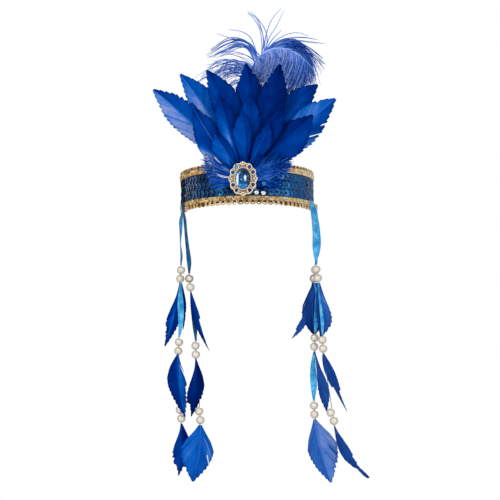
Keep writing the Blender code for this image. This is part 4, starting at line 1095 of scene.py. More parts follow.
def make_braid(node, plain_edge, looped_edge, picot_deep, painted_light_to_right, sprung):
    """A strip between two heights, with picots beyond the looped edge, and painted light that
    makes it brighter to the right.

    Its right end has sprung away from the band by some millimetres."""
    way = math.copysign(1, looped_edge - plain_edge)
    middle, high = (plain_edge + looped_edge) / 2, abs(looped_edge - plain_edge)
    luck = np.random.default_rng(int(high * 10))
    loops = []
    for i in range(PICOTS):
        along = -BAND_END + (i + 0.5) * PITCH
        centre = looped_edge + way * picot_deep * 0.38
        spin = 0 if way < 0 else math.pi
        where = ring_place(along, -0.9, centre, spin + luck.normal(0, 0.05))
        loops.append(shaped(where, PITCH * 0.40, picot_deep * 0.52, 2.9))
    picots = copies(node + "_picots", picot, loops)
    slants = []
    for row in (-1, 1):
        for i in range(int(2 * BAND_END / STITCH_STEP)):
            along = -BAND_END + (i + 0.5) * STITCH_STEP + 0.3 * row
            lean = row * way * (0.7 + luck.normal(0, 0.09))
            where = ring_place(along, -0.85 + luck.normal(0, 0.08), middle + row * high * 0.235, lean)
            slants.append(shaped(where, 1.9, high * 0.52, 2.0))
    stitches = copies(node + "_stitches", stitch, slants)
    place, _, outward = ring_frame(np.linspace(-BAND_END, BAND_END, CORD_STEPS + 1))
    wobble = 0.12 * np.sin(np.arange(CORD_STEPS + 1) * 2.1)[:, None]
    # a cord along each edge and a thin one between the two rows of stitches
    runs = [(plain_edge, -0.8, 0.55), (middle, -0.35, 0.34), (looped_edge, -0.7, 0.6)]
    edges, radii = [], []
    for z, out, radius in runs:
        inset = z - radius * np.sign(z - middle)
        edges.append((place + outward * (out + wobble) + np.array([0, 0, inset])) * MM)
        radii.append(np.full(CORD_STEPS + 1, radius * MM))
    cords = strands(node + "_cords", cord_tube, edges, radii, [0.3, 0.8, 0.5])
    backing = make_backing(plain_edge, looped_edge, way * picot_deep)
    braid = join(node + "_gimp", picots, stitches, cords, backing)
    # painted light: the shade of every thread but the backing rises towards the right
    shade = np.empty(len(braid.data.vertices))
    braid.data.attributes["shade"].data.foreach_get("value", shade)
    points = points_of(braid)
    shade_with_painted_light = np.clip(shade + painted_light_to_right * points[:, 0] / (HALF_WIDTH * MM), 0.04, 1.0)
    store(braid.data, "shade", np.where(shade > 0.001, shade_with_painted_light, shade))
    # the right end springs away over its last 18 mm from front to back
    towards_end = np.clip(points[:, 1] / (18 * MM) + 1, 0, 1) * (points[:, 0] > 0)
    points[:, 0] += sprung * MM * towards_end
    move_points(braid, points)
    return braid


def make_backing(plain_edge, looped_edge, loops):
    """The flat tape behind the stitches, bent round the ring. It backs the side loops more."""
    bpy.ops.mesh.primitive_cube_add(size=1)
    tape = bpy.context.object
    cut_into_steps(tape, CORD_STEPS, 0, -0.5)
    along, deep, up = points_of(tape).T
    place, _, outward = ring_frame(along * 2 * BAND_END)
    at_sides = np.interp(np.abs(along * 2 * BAND_END), (35, 50), (0.58, 0.78))
    high = looped_edge + loops * (0.72 if loops > 0 else at_sides)
    bent = place + outward * (-1.45 + deep * 0.9)[:, None]
    bent[:, 2] = (plain_edge + high) / 2 + up * (np.abs(high - plain_edge) - 0.8)
    move_points(tape, bent * MM)
    # a shade of 0 makes the tape near-black on the gold ramp, so the gaps between the stitches and inside
    # the loops show dark
    store(tape.data, "shade", np.full(len(along), 0.0))
    return tape


GOLD = [(0.0, 34, 26, 24), (0.06, 168, 126, 66), (0.5, 240, 203, 138), (1.0, 255, 240, 204)]
gold, tree, shader = material("gold_thread", Metallic=0.6, Specular_IOR_Level=0.5)
wear = over_piece(tree, metal_wear, 220.0)
bright = ramp(tree, attribute(tree, "shade"), GOLD)
worn = mix(tree, math_node(tree, "MULTIPLY", wear["Tarnish"], 0.5), bright, srgb(130, 94, 52))
twists = {"Vector": object_place(tree), "Scale": 520.0, "Distortion": 1.5}
twist = add(tree, "TexWave", twists, bands_direction="DIAGONAL").outputs["Fac"]
relief = bump(tree, twist, 0.5, 0.0003)
feed(tree, shader, {"Base Color": worn, "Roughness": wear["Roughness"], "Normal": relief})

# node: plain edge, looped edge, depth of the loops, how much painted light brightens it
# to the right, how far sprung
BRAIDS = {"braid_lower": (10.5, 5.0, 5.0, 0.22, 3.8), "braid_upper": (39.0, 46.0, 3.0, 0.38, 0.0)}
for node, sizes in BRAIDS.items():
    piece = make_braid(node, *sizes)
    dress(piece, gold, "braid", node)
    print(piece.name, "triangles:", triangles(piece))

# %% [markdown]
# ## Brooch
# The brooch is cast metal: a scalloped oval plate with pierced motifs, a beaded bezel
# round the large stone and eight small stones in ring settings. The plate starts as a
# circle that is scalloped, extruded and pierced; the beads and rings are copies.
# %% Brooch plate
PLATE_BACK, PLATE_FRONT = -106.0, -108.4
RIM_WIDE, RIM_HIGH = 16.6, 19.8
SCALLOPS, SCALLOP_DEPTH = 12, 0.75
BEZEL_BEADS = 44
PIERCINGS = [(0, 16.6), (0, -16.6), (13.4, 0), (-13.4, 0)]
PIERCINGS += [(x, z) for x in (-2.9, 2.9) for z in (-15.6, 15.6)]
PIERCINGS += [(x, z) for x in (-12.6, 12.6) for z in (-2.7, 2.7)]


def oval(angle, wide, high, y):
    """Points in mm round the brooch's middle, from the top on."""
    points = wide * np.sin(angle), y, BROOCH_Z + high * np.cos(angle)
    return np.stack(np.broadcast_arrays(*points), axis=1)


def scalloped(angle, y, inwards=0.0):
    """The brooch's outline, which swells between its scallops."""
    swell = SCALLOP_DEPTH * (np.cos(SCALLOPS * angle) - 1) - inwards
    return oval(angle, RIM_WIDE + swell, RIM_HIGH + swell, y)


bpy.ops.mesh.primitive_circle_add(vertices=96, radius=1, fill_type="NGON", rotation=(math.pi / 2, 0, 0))
plate = bpy.context.object
settle(plate)
ring = points_of(plate)
move_points(plate, scalloped(np.arctan2(ring[:, 0], ring[:, 2]), PLATE_FRONT) * MM)
select_all_of(plate)
bpy.ops.mesh.extrude_region_move(TRANSFORM_OT_translate={"value": (0, (PLATE_BACK - PLATE_FRONT) * MM, 0)})
face_outwards()
done_editing()
drills = []
for x, z in PIERCINGS:
    bpy.ops.mesh.primitive_cylinder_add(
        vertices=16, radius=0.95 * MM, depth=8 * MM, rotation=(math.pi / 2, 0, 0),
        location=(x * MM, -0.107, (BROOCH_Z + z) * MM),
    )
    drills.append(bpy.context.object)
drill = join("drill", *drills)
pierce = plate.modifiers.new("pierce", "BOOLEAN")
pierce.operation = "DIFFERENCE"
pierce.solver = "EXACT"
pierce.object = drill
soften = plate.modifiers.new("soften", "BEVEL")
soften.width = 0.25 * MM
soften.segments = 2
finish_modifiers(plate)
discard(drill)
store(plate.data, "shade", np.zeros(len(plate.data.vertices)))
print("brooch plate faces:", len(plate.data.polygons))

# %% [markdown]
# The plate carries a beaded bezel, eight ring settings and beads on its four points.
# A bead, a ring and a small stone are modelled once, and each copy is placed by how far
# it sits from the brooch's middle.
# %% Brooch beads, rings and small stones
COLLETS = [(x * sx, z * sz) for x, z in ((7.6, 13.4), (11.5, 7.3)) for sx in (-1, 1) for sz in (-1, 1)]
bpy.ops.mesh.primitive_ico_sphere_add(subdivisions=2, radius=1)
bead = bpy.context.object
bpy.ops.mesh.primitive_torus_add(
    major_segments=24, minor_segments=8, major_radius=1, minor_radius=0.24, rotation=(math.pi / 2, 0, 0)
)
wire_ring = bpy.context.object
settle(wire_ring)


def on_brooch(x, z, y, wide, deep=None, high=None):
    """A matrix for a copy at x and z from the brooch's middle, with its half sizes in mm."""
    deep, high = deep or wide, high or wide
    place = Matrix.Translation((x * MM, y * MM, (BROOCH_Z + z) * MM))
    return place @ Matrix.Diagonal((wide * MM, deep * MM, high * MM, 1))


beading = []
for a in math.tau * np.arange(BEZEL_BEADS) / BEZEL_BEADS:
    beading.append(on_brooch(9.6 * math.sin(a), 13.0 * math.cos(a), -110.4, 0.62, 0.9, 0.62))
for x, z in COLLETS:
    for a in math.tau * (np.arange(4) + 0.5) / 4:
        beading.append(on_brooch(x + 2.5 * math.sin(a), z + 2.5 * math.cos(a), -110.9, 0.5, 0.8))
for sx, sz in ((0, 1), (0, -1), (1, 0), (-1, 0)):
    wide, high = 0.8 + 0.5 * abs(sx), 0.8 + 0.5 * abs(sz)
    beading.append(on_brooch(sx * 15.9, sz * 18.9, -109.2, wide, 1.0, high))
    beading.append(on_brooch(sx * 13.2, sz * 16.4, -109.4, 1.0))
    for spread in (-2.3, 2.3):
        x, z = sx * 14.2 + spread * abs(sz), sz * 17.0 + spread * abs(sx)
        beading.append(on_brooch(x, z, -109.2, 0.9))
beads = copies("brooch_beads", bead, beading)
rings = [on_brooch(x, z, -109.3, 2.75, 4.2) for x, z in COLLETS]
rings += [on_brooch(x, z, -108.6, 1.25, 1.6) for x, z in PIERCINGS]
hoops = copies("brooch_hoops", wire_ring, rings)
a = np.linspace(0, math.tau, CORD_STEPS + 1)
outlines = np.array([scalloped(a, -108.9, 0.4), oval(a, 9.3, 12.7, -109.6)])
wires = strands("brooch_wires", cord_tube, outlines * MM, np.full((2, len(a)), 0.6 * MM), [0.8, 0.9])
brooch = join("brooch_setting", plate, beads, hoops, wires)

bpy.ops.mesh.primitive_cone_add(vertices=8, radius1=1, radius2=0.55, depth=0.7, rotation=(math.pi / 2, 0, 0))
small = bpy.context.object
settle(small)
seats = [on_brooch(x, z, -110.2, 2.15, 1.7) for x, z in COLLETS]
small_stones = copies("brooch_small_stones", small, seats)

# %% [markdown]
# The casting is pale rose gold, with painted shade where two faces meet closely. The
# plate behind the beads and rings is given a darker colour, so that they stand out on it.
# %% Brooch metal
rose_gold, tree, shader = material("rose_gold", Metallic=0.35, Specular_IOR_Level=0.7)
wear = over_piece(tree, metal_wear, 300.0)
# painted shade: ambient occlusion darkens the metal where two faces meet closely
hollow = add(tree, "AmbientOcclusion", {"Distance": 0.0022}, samples=8).outputs["AO"]
cast = ramp(tree, wear["Tarnish"], [(0.0, 255, 250, 230), (1.0, 250, 224, 182)])
hollow_shaded = mix(tree, hollow, srgb(190, 150, 106), cast)
raised = math_node(tree, "GREATER_THAN", attribute(tree, "shade"), 0.0001)
recess = mix(tree, raised, srgb(150, 118, 86), hollow_shaded)
relief = bump(tree, wear["Height"], 0.2, 0.0002)
feed(tree, shader, {"Base Color": recess, "Roughness": wear["Roughness"], "Normal": relief})
dress(brooch, rose_gold, "filigree", "brooch_frame")
pick(brooch)
bpy.ops.object.shade_smooth_by_angle(angle=math.radians(40))
print("brooch triangles:", triangles(brooch))

# %% [markdown]
# ## The stone
# The large stone is moulded glass, foiled behind. The light that comes back off its
# foil and inner facets is painted on: patches of pale cyan, royal blue and near black.
# Its facets are made by wrapping a hull round ovals at six heights; each facet then has
# a painted shade of its own.
# %% Centre stone
# height, share of the full size, corners, turn by a share of the step between corners
STONE_LEVELS = [
    (0.0, 0.80, 16, 0.0), (1.2, 1.0, 16, 0.5), (1.8, 1.0, 16, 0.5), (3.1, 0.84, 16, 0.0),
    (3.9, 0.62, 16, 0.5), (4.3, 0.34, 8, 0.0),
]
STONE_BACK, STONE_WIDE, STONE_HIGH = -108.7, 8.6, 12.0
levels = []
for height, share, sides, spin in STONE_LEVELS:
    bpy.ops.mesh.primitive_circle_add(vertices=sides, radius=1)
    level = bpy.context.object
    angle = (np.arange(sides) + spin) * math.tau / sides
    move_points(level, oval(angle, STONE_WIDE * share, STONE_HIGH * share, STONE_BACK - height) * MM)
    levels.append(level)
stone = join("brooch_centre_stone", *levels)
select_all_of(stone)
bpy.ops.mesh.convex_hull()
face_outwards()
done_editing()


def store_facets(obj, values):
    """A painted reflection brightness on each face, which the stone's foil reads."""
    facets = obj.data.attributes.new("facet", "FLOAT", "FACE")
    facets.data.foreach_set("value", values)


# painted reflection: dark at the top and the right, paler at the bottom
luck = np.random.default_rng(3)
shade = []
for polygon in stone.data.polygons:
    x, z = polygon.center.x / MM, polygon.center.z / MM - BROOCH_Z
    value = luck.uniform(0.1, 0.34)
    if z > 4 or x > 5:
        value = luck.uniform(0.0, 0.16)
    elif z < -4.0:
        value = luck.uniform(0.44, 0.58) if z < -7.0 else luck.uniform(0.24, 0.38)
    shade.append(value)
store_facets(stone, shade)
# painted reflection: how bright each small stone is
small_stone_reflections = [0.24, 0.6, 0.04, 0.2, 0.16, 0.32, 0.2, 0.24]
store_facets(small_stones, np.repeat(small_stone_reflections, len(small.data.polygons)))

blue_stone, tree, shader = material(
    "foiled_stone", Roughness=0.08, Metallic=0.1, Specular_IOR_Level=0.3, Coat_Weight=0.15,
    Coat_Roughness=0.02,
)
place = object_place(tree)
cells = {"Vector": place, "Scale": 230.0, "Randomness": 0.7}
inner = add(tree, "TexVoronoi", cells, distance="EUCLIDEAN").outputs["Distance"]
uneven = math_node(tree, "SUBTRACT", inner, 0.45)
mixed = math_node(tree, "MULTIPLY_ADD", uneven, 0.35, attribute(tree, "facet"))
spot = add(tree, "SeparateXYZ", {0: place})


def painted_glint_mask(x, z, wide, high, power):
    """1 inside a rounded patch of the stone and 0 outside. A power of 1 makes a diamond."""
    total = 0.0
    for output, middle, half in ((0, x, wide), (2, BROOCH_Z + z, high)):
        off = math_node(tree, "SUBTRACT", spot.outputs[output], middle * MM)
        off = math_node(tree, "DIVIDE", math_node(tree, "ABSOLUTE", off), half * MM)
        total = math_node(tree, "ADD", math_node(tree, "POWER", off, power), total)
    return math_node(tree, "MULTIPLY", math_node(tree, "SUBTRACT", 1.0, total), 3.0, clamp=True)


# painted reflections of the lamps in the stone: x, z, half width, half height, power
PAINTED_LAMP_REFLECTIONS = [(-6.5, -0.6, 1.6, 8.2, 2.0), (2.6, 0.6, 2.3, 5.2, 1.0), (-1.9, -1.3, 0.6, 0.7, 2.0)]
# the foil's colours, from near black up to the white of the painted reflections
FOIL = [
    (0.0, 2, 20, 50), (0.3, 0, 76, 130), (0.55, 0, 128, 198), (0.8, 90, 190, 230),
    (1.0, 226, 240, 255),
]
# the painted reflections of the lamps lift the foil's colour
painted_reflections = 0.0
for patch in PAINTED_LAMP_REFLECTIONS:
    painted_reflections = math_node(tree, "MAXIMUM", painted_glint_mask(*patch), painted_reflections)
mixed = math_node(tree, "ADD", mixed, math_node(tree, "MULTIPLY", painted_reflections, 0.75))
feed(tree, shader, {"Base Color": ramp(tree, mixed, FOIL)})
dress(stone, blue_stone, "stone", "brooch_stone", smooth=False)
dress(small_stones, blue_stone, "stone", smooth=False)
print("stone facets:", len(stone.data.polygons))

# %% [markdown]
# ## Pearls
# Each strand carries pairs of cream glass pearls threaded on ribbon. One pearl is
# turned from a sphere whose two poles are pressed in where the thread enters.
# %% Pearls and threads
PEARL_RADIUS, PEARL_STEP = 5.0, 10.4
STRAND_Y = {"left_outer": -26, "left_inner": -38, "right_inner": -24, "right_outer": -36}
# strand, pair, x, z of the middle, lean, whether a thread reaches up to the pair above
PAIRS = [
    ("left_outer", 1, -78.8, -73.7, -5, 0),
    ("left_outer", 2, -81.8, -159.3, -5, 0),
    ("left_outer", 3, -80.1, -239.0, 9, 1),
    ("left_inner", 1, -67.2, -85.0, 7, 0),
    ("left_inner", 2, -60.9, -164.4, 2, 0),
    ("left_inner", 3, -56.7, -241.3, 7, 1),
    ("right_inner", 1, 79.6, -75.5, -9, 0),
    ("right_inner", 2, 78.5, -156.1, -3, 0),
    ("right_inner", 3, 77.2, -235.8, 2, 0),
    ("right_outer", 1, 82.8, -76.0, 9, 0),
    ("right_outer", 2, 88.3, -159.3, 4, 0),
    ("right_outer", 3, 98.3, -244.2, 21, 1),
]
# two pearls are browned at the rim, by strand and pair, then upper and lower: the
# left inner strand's upper pearl has a brown ring, and the right inner strand's lower
# pearl has painted shade, as it hangs behind the other
PEARL_STAIN_AND_SHADE = {("left_inner", 1): (0.9, 0.0), ("right_inner", 1): (0.0, 0.8)}
bpy.ops.mesh.primitive_uv_sphere_add(segments=24, ring_count=16, radius=PEARL_RADIUS * MM)
pearl = bpy.context.object
pearl_points = points_of(pearl)
spread = np.hypot(pearl_points[:, 0], pearl_points[:, 1]) / MM
pressed = np.clip(1 - spread / 1.1, 0, 1) * 0.9 * MM
pearl_points[:, 2] -= np.sign(pearl_points[:, 2]) * pressed
move_points(pearl, pearl_points)


def pair_ends(strand, x, z, lean):
    """The middles of a pair's upper and lower pearl."""
    down = Vector((math.sin(math.radians(lean)), 0, -math.cos(math.radians(lean))))
    middle = Vector((x, STRAND_Y[strand], z)) * MM
    return middle - down * PEARL_STEP / 2 * MM, middle + down * PEARL_STEP / 2 * MM


# the pearl's cream runs from a painted highlight in the middle to painted shade at the rim
NACRE_LIT_AND_SHADED = [
    (0.0, 232, 224, 208), (0.2, 206, 194, 176), (0.55, 184, 169, 150), (0.8, 156, 138, 120),
    (1.0, 116, 96, 82),
]
cream, tree, shader = material(
    "cream_pearl", Roughness=0.22, Specular_IOR_Level=0.55, Coat_Weight=1.0, Coat_Roughness=0.16,
    Sheen_Weight=0.2,
)
rim_shading = add(tree, "LayerWeight", {"Blend": 0.56}).outputs["Facing"]
clouded = math_node(tree, "ADD", centred(tree, mottle(tree, 180.0), 0.12), rim_shading)
at_edge = math_node(tree, "MULTIPLY", rim_shading, 1.6)
# browning at the rim: a brown ring on one pearl, painted shade on the other
stain_and_shade_at_rim = math_node(tree, "MULTIPLY", attribute(tree, "shade"), at_edge, clamp=True)
stained_and_shaded = mix(tree, stain_and_shade_at_rim, ramp(tree, clouded, NACRE_LIT_AND_SHADED), srgb(84, 52, 40))
strung = mix(tree, attribute(tree, "thread"), stained_and_shaded, srgb(80, 104, 140))
feed(tree, shader, {"Base Color": strung, "Normal": bump(tree, noise(tree, 420.0), 0.08, 0.0002)})

pearl_at = {}
for strand, pair, x, z, lean, threaded in PAIRS:
    upper, lower = pair_ends(strand, x, z, lean)
    pearl_at[strand, pair] = (upper, lower)
    turn = Matrix.Rotation(-math.radians(lean), 4, "Y")
    # the browning at the rim: a brown ring on one pearl, painted shade on the other
    stains = PEARL_STAIN_AND_SHADE.get((strand, pair), (0.0, 0.0))
    two = copies("pair", pearl, [Matrix.Translation(middle) @ turn for middle in (upper, lower)], stains)
    top = upper
    if threaded:
        top = pearl_at[strand, pair - 1][1] - Vector((0, 0, PEARL_RADIUS * MM))
    line = np.linspace(top, lower, QUILL_STEPS + 1)
    thread = strands("thread", quill_tube, [line], [np.full(len(line), 0.5 * MM)], [0.2])
    store(thread.data, "thread", np.ones(len(thread.data.vertices)))
    piece = join(f"pearls_{strand}_{pair}_glass", two, thread)
    dress(piece, cream, "pearl", f"pearls_{strand}_{pair}")
print("pearls:", 2 * len(PAIRS))

# %% [markdown]
# ## Ribbons
# Narrow satin ribbon hangs from the lower braid and between the pearls. It is drawn
# together where it enters a pearl and opens between, so each strip is a grid bent
# along its turns, gathered into small folds at the ends and let out in the middle.
# %% Ribbons
# where each first ribbon is stitched: its depth, then heights and half widths
SEWN = {
    "left_outer": (-32, [(11.0, 0.6), (5.0, 2.4), (0.5, 3.8)]),
    "left_inner": (-38, [(12.0, 0.6), (5.0, 2.4), (0.5, 3.8)]),
    "right_inner": (-20, [(1.5, 1.6)]),
}
# x, behind the strand, z, half width, turn of the width from the X axis
RIBBONS = {
    ("left_outer", 1, "teal"): [
        (-78.2, 0, -8, 4.0, -58), (-78.2, 0, -22, 4.0, -66), (-78.6, 0, -36, 4.0, -79),
        (-77.8, 0, -52, 3.6, -62), (-78.3, 0, -63, 1.1, -55)],
    ("left_inner", 1, "teal"): [
        (-73.0, 0, -9, 4.0, -64), (-71.5, 0, -24, 4.0, -66), (-69.6, 0, -42, 4.0, -56),
        (-67.9, 0, -61, 3.9, -42), (-67.7, 0, -74.3, 1.1, -40)],
    ("right_inner", 1, "cyan"): [
        (82.0, 0, -9, 4.0, 50), (84.2, 0, -27, 4.0, 40), (84.4, 0, -45, 3.9, 52),
        (80.5, 0, -64.8, 1.1, 60)],
    ("right_outer", 1, "cyan"): [
        (77.2, 5, 13, 0.5, 40), (78.3, 3, 7.5, 2.4, 28), (79.8, 1, 0, 4.0, 20),
        (81.0, 0, -9, 4.2, 16), (82.0, 0, -27, 4.1, 14), (81.8, 0, -48, 3.8, 20),
        (82.1, 0, -65.3, 1.1, 40)],
    ("left_outer", 2, "cyan"): [
        (-79.2, -1.0, -84.3, 0.9, 10), (-79.2, -1.4, -104, 3.3, 8), (-78.8, -1.4, -122, 3.6, -8),
        (-79.4, -1.4, -137, 2.6, -14), (-81.2, -1.0, -148.6, 0.9, -20)],
    ("left_inner", 2, "teal"): [
        (-66.3, 1.0, -95.7, 0.9, 20), (-64.2, 1.6, -117, 2.6, 30), (-61.8, 1.6, -136, 3.0, 30),
        (-60.7, 0.6, -153.8, 0.9, 20)],
    ("right_inner", 2, "cyan"): [
        (79.4, 0, -86.4, 0.9, 0), (81.6, -2.4, -97, 1.0, 10), (82.0, -3.2, -112, 2.4, 12),
        (81.3, -3.2, -130, 3.1, 12), (79.4, -0.6, -145.4, 0.9, 10)],
    ("right_outer", 2, "cyan"): [
        (84.2, -0.4, -86.9, 0.9, 0), (84.6, -1.0, -97, 0.9, -10), (86.6, -1.4, -116, 1.4, -14),
        (88.2, -1.4, -133, 2.0, -14), (88.2, -0.4, -148.6, 0.9, -10)],
    ("right_inner", 3, "cyan"): [
        (78.0, 1.2, -167, 0.9, 0), (76.6, 0.8, -184, 3.2, 12), (77.0, 0.8, -208, 3.7, -8),
        (76.9, 0.8, -225.2, 0.9, 0)],
}
# ribbons whose satin is paler than their slot's
PALER = {("left_outer", 1): "turquoise"}
RIBBON_STEPS, RIBBON_COLUMNS = 48, 10


def satin(name, *dyes):
    made, tree, shader = material(name, Roughness=0.4, Specular_IOR_Level=0.15, Anisotropic=0.4)
    lines = fine_lines(tree, 3.0)
    # painted shade and sheen: clouds darken and lighten the satin as its crumples would
    cloud = math_node(tree, "MULTIPLY", mottle(tree, 130.0), 0.65)
    mixed = math_node(tree, "MULTIPLY_ADD", lines["Streak"], 0.35, cloud)
    colours = ramp(tree, mixed, [(place, *dye_and_light) for place, dye_and_light in zip((0.0, 0.5, 1.0), dyes)])
    relief = bump(tree, lines["Height"], 0.25, 0.00015)
    feed(tree, shader, {"Base Color": colours, "Normal": relief})
    return made


satins = {
    "cyan": satin("cyan_satin", (14, 104, 172), (60, 164, 220), (140, 212, 242)),
    "teal": satin("teal_satin", (2, 42, 80), (6, 74, 118), (22, 114, 160)),
    "turquoise": satin("turquoise_satin", (4, 66, 112), (20, 112, 160), (70, 166, 204)),
}


def sewn_rows(strand, sign):
    """The rows of a ribbon where it is stitched flat on the braid."""
    sewn_y, heights = SEWN[strand]
    along = float(np.interp(math.acos(-sewn_y / HALF_DEPTH), turns, arc)) * sign
    place, ahead, outward = ring_frame(np.array([along]))
    centre = place[0] + outward[0] * 0.8
    turn = math.degrees(math.atan2(ahead[0, 1], ahead[0, 0]))
    return [(centre[0], centre[1] - STRAND_Y[strand], z, half, turn) for z, half in heights]


def ribbon_piece(strand, number, finish, rows):
    if number == 1 and strand in SEWN:
        rows = sewn_rows(strand, int(math.copysign(1, rows[0][0]))) + rows
    path = np.array(rows, dtype=float)
    path[:, 1] += STRAND_Y[strand]
    smooth = curve_through(path, RIBBON_STEPS)
    bpy.ops.mesh.primitive_grid_add(x_subdivisions=RIBBON_COLUMNS, y_subdivisions=RIBBON_STEPS, size=1)
    strip = bpy.context.object
    flat = points_of(strip)
    row = np.rint((flat[:, 1] + 0.5) * RIBBON_STEPS).astype(int)
    over = flat[:, 0] * 2
    middle, half, turn = smooth[row, :3], smooth[row, 3], np.radians(smooth[row, 4])
    side = on_level(np.cos(turn), np.sin(turn))
    front = on_level(np.sin(turn), -np.cos(turn))
    # small folds where it is gathered, one soft wave where it is let out
    gather = np.clip((3.6 - half) / 2.6, 0, 1)
    fold = np.cos(over * math.pi * 2.0) * 0.45 * gather
    fold += 0.35 * (1 - gather) * np.sin(over * 2.4 + row * 0.16)
    bent = middle + side * (over * np.maximum(half, 0.9))[:, None] + front * fold[:, None]
    move_points(strip, bent * MM)
    store_uv(strip.data, np.stack([over * 4, row * 1.2], axis=1))
    thicken(strip, 0.3)
    strip.name = f"ribbon_{strand}_{number}_satin"
    satin_name = PALER.get((strand, number), finish)
    dress(strip, satins[satin_name], f"{finish}_ribbon", f"ribbon_{strand}_{number}")


for (strand, number, finish), rows in RIBBONS.items():
    ribbon_piece(strand, number, finish, rows)
print("ribbons:", len(RIBBONS))

# %% [markdown]
# ## Hanging feathers
# Below each pair of pearls hang small cut feathers, their teeth finer than the fan's.
# They are built by the same function. The tables say how far each is turned about its
# own length, and they meet the pearl that holds them.
# %% Hanging feathers
HANGING_OUTLINE = [
    (0.0, 0.08), (0.12, 0.34), (0.28, 0.74), (0.44, 1.0), (0.58, 0.96), (0.72, 0.76),
    (0.86, 0.45), (0.95, 0.2), (1.0, 0.06),
]
BROAD = [
    (0.0, 0.2), (0.12, 0.36), (0.28, 0.62), (0.44, 0.88), (0.58, 1.0), (0.72, 0.92),
    (0.86, 0.6), (0.95, 0.34), (1.0, 0.12),
]
TAILED = [
    (0.0, 0.1), (0.1, 0.3), (0.25, 0.75), (0.4, 1.0), (0.55, 0.98), (0.68, 0.7),
    (0.8, 0.42), (0.95, 0.36), (1.0, 0.2),
]
# strand, number, pair, top x, tip x, tip z, behind, bow, widths, turn, tone left and
# right (dye with painted light), slot, then what is special about this one
HANGING = [
    ("left_outer", 1, 1, -80.2, -98.6, -158.4, 4.8, 3, (10, 8), 12, (0.42, 0.34), "feather", dict(
        late=(1.4, 1.0), quill_highlight=(0.36, 0.0), quill_highlight_at=0.74,
        crease_shading=[(-1, 0.62, 0.6, -0.24), (-1, 0.8, 0.6, -0.24)],
        notches=[(-1, 0.7, 2.5, 14), (-1, 0.86, 2.0, 9)])),
    ("left_outer", 2, 1, -77.8, -76.6, -139.0, 1.6, 2, (3, 2.6), 20, (0.2, 0.28), "dark_feather", dict(
        deep=0.5)),
    ("left_outer", 3, 2, -82.4, -74.4, -242.3, -6.4, -3, (13, 9.5), -6, (0.34, 0.62), "feather", dict(
        late=(0.78, 1.05), quill_highlight=(0.1, 0.24), notches=[(1, 0.5, 2.0, 18)], splits=[(1, 0.34, 0.6, 1.6)])),
    ("left_outer", 4, 3, -79.4, -83.1, -310.7, 0.4, 2, (12, 10), 10, (0.44, 0.3), "dark_feather", dict(
        late=(1.35, 0.9), deep=2.0, quill_highlight=(0.14, 0.0), notches=[(-1, 0.8, 3.5, 10), (-1, 0.9, 2.5, 8)])),
    ("left_inner", 1, 1, -66.0, -44.7, -165.3, -2.0, -3, (4, 5), -20, (0.3, 0.5), "feather", dict(
        late=(0.9, 0.8), deep=0.5, notches=[(1, 0.47, 2.8, 60)])),
    ("left_inner", 2, 2, -60.7, -66.7, -242.1, -3.4, 3, (11.5, 9.5), 12, (0.2, 0.16), "dark_feather", dict(
        late=(1.5, 1.0), quill_highlight=(0.3, 0.0), quill_highlight_wide=0.5, deep=1.2,
        notches=[(-1, 0.78, 5.0, 16), (-1, 0.9, 2.5, 9)])),
    ("left_inner", 3, 3, -56.0, -65.2, -317.8, 0.0, 3, (22, 17), -8, (0.72, 0.68), "feather", dict(
        deep=2.0, quill_highlight=(0.0, 0.1), splits=[(1, 0.66, 0.3, 0.7)],
        crease_shading=[(1, 0.56, 0.7, 0.3), (1, 0.63, 0.5, 0.24), (-1, 0.5, 0.8, -0.14), (1, 0.4, 0.6, -0.12)])),
    ("right_inner", 1, 1, 80.0, 78.1, -146.2, 2.6, -2, (14.5, 16.5), 10, (0.3, 0.36), "dark_feather", dict(
        outline=BROAD, late=(1.0, 0.85), quill_highlight=(0.3, 0.3), splits=[(-1, 0.52, 0.4, 0.9)])),
    ("right_inner", 2, 1, 76.9, 51.6, -150.9, 6.4, 6, (4, 5), 14, (0.42, 0.46), "feather", dict(
        late=(2.2, 2.4), deep=0.8, notches=[(-1, 0.85, 3.0, 12)])),
    ("right_inner", 3, 2, 78.6, 91.6, -237.8, -2.4, 0, (5, 9.5), -18, (0.36, 0.5), "feather", dict(
        late=(1.7, 1.6), quill_highlight=(0.2, 0.1), deep=0.9)),
    ("right_inner", 4, 3, 77.3, 95.6, -320.6, 0.0, -2, (16, 20), 8, (0.64, 0.9), "feather", dict(
        quill_highlight=(0.0, 0.06), deep=1.8,
        crease_shading=[(1, 0.63, 0.5, -0.5), (1, 0.52, 0.6, 0.16), (1, 0.46, 0.5, 0.22), (1, 0.41, 0.4, -0.2),
                 (1, 0.75, 0.7, -0.14), (-1, 0.5, 0.8, -0.16), (-1, 0.36, 0.8, -0.16)])),
    ("right_outer", 1, 1, 83.4, 85.6, -150.0, 1.8, 2, (6.0, 15.5), -16, (0.4, 0.52), "feather", dict(
        outline=BROAD, late=(0.9, 1.4), quill_highlight=(0.0, 0.3), quill_highlight_at=0.55, quill_highlight_wide=0.8, deep=1.8)),
    ("right_outer", 2, 2, 88.8, 115.6, -238.4, -3.0, -2, (6.5, 6), 24, (0.4, 0.36), "dark_feather", dict(
        late=(0.6, 0.8), deep=0.5, notches=[(1, 0.66, 2.6, 30), (-1, 0.56, 3.6, 50)])),
    ("right_outer", 3, 3, 100.5, 139.9, -315.8, 0.0, -6, (6, 7.5), -26, (0.4, 0.46), "dark_feather", dict(
        outline=TAILED, deep=0.5, notches=[(1, 0.56, 2.4, 12), (1, 0.7, 2.4, 10), (-1, 0.74, 1.6, 14)])),
]
QUILL_TOP_RADIUS = 0.45


def turned_to(vector, axis, sign):
    """The vector or its opposite, so that it points to one side on an axis."""
    return -vector if vector[axis] * sign < 0 else vector


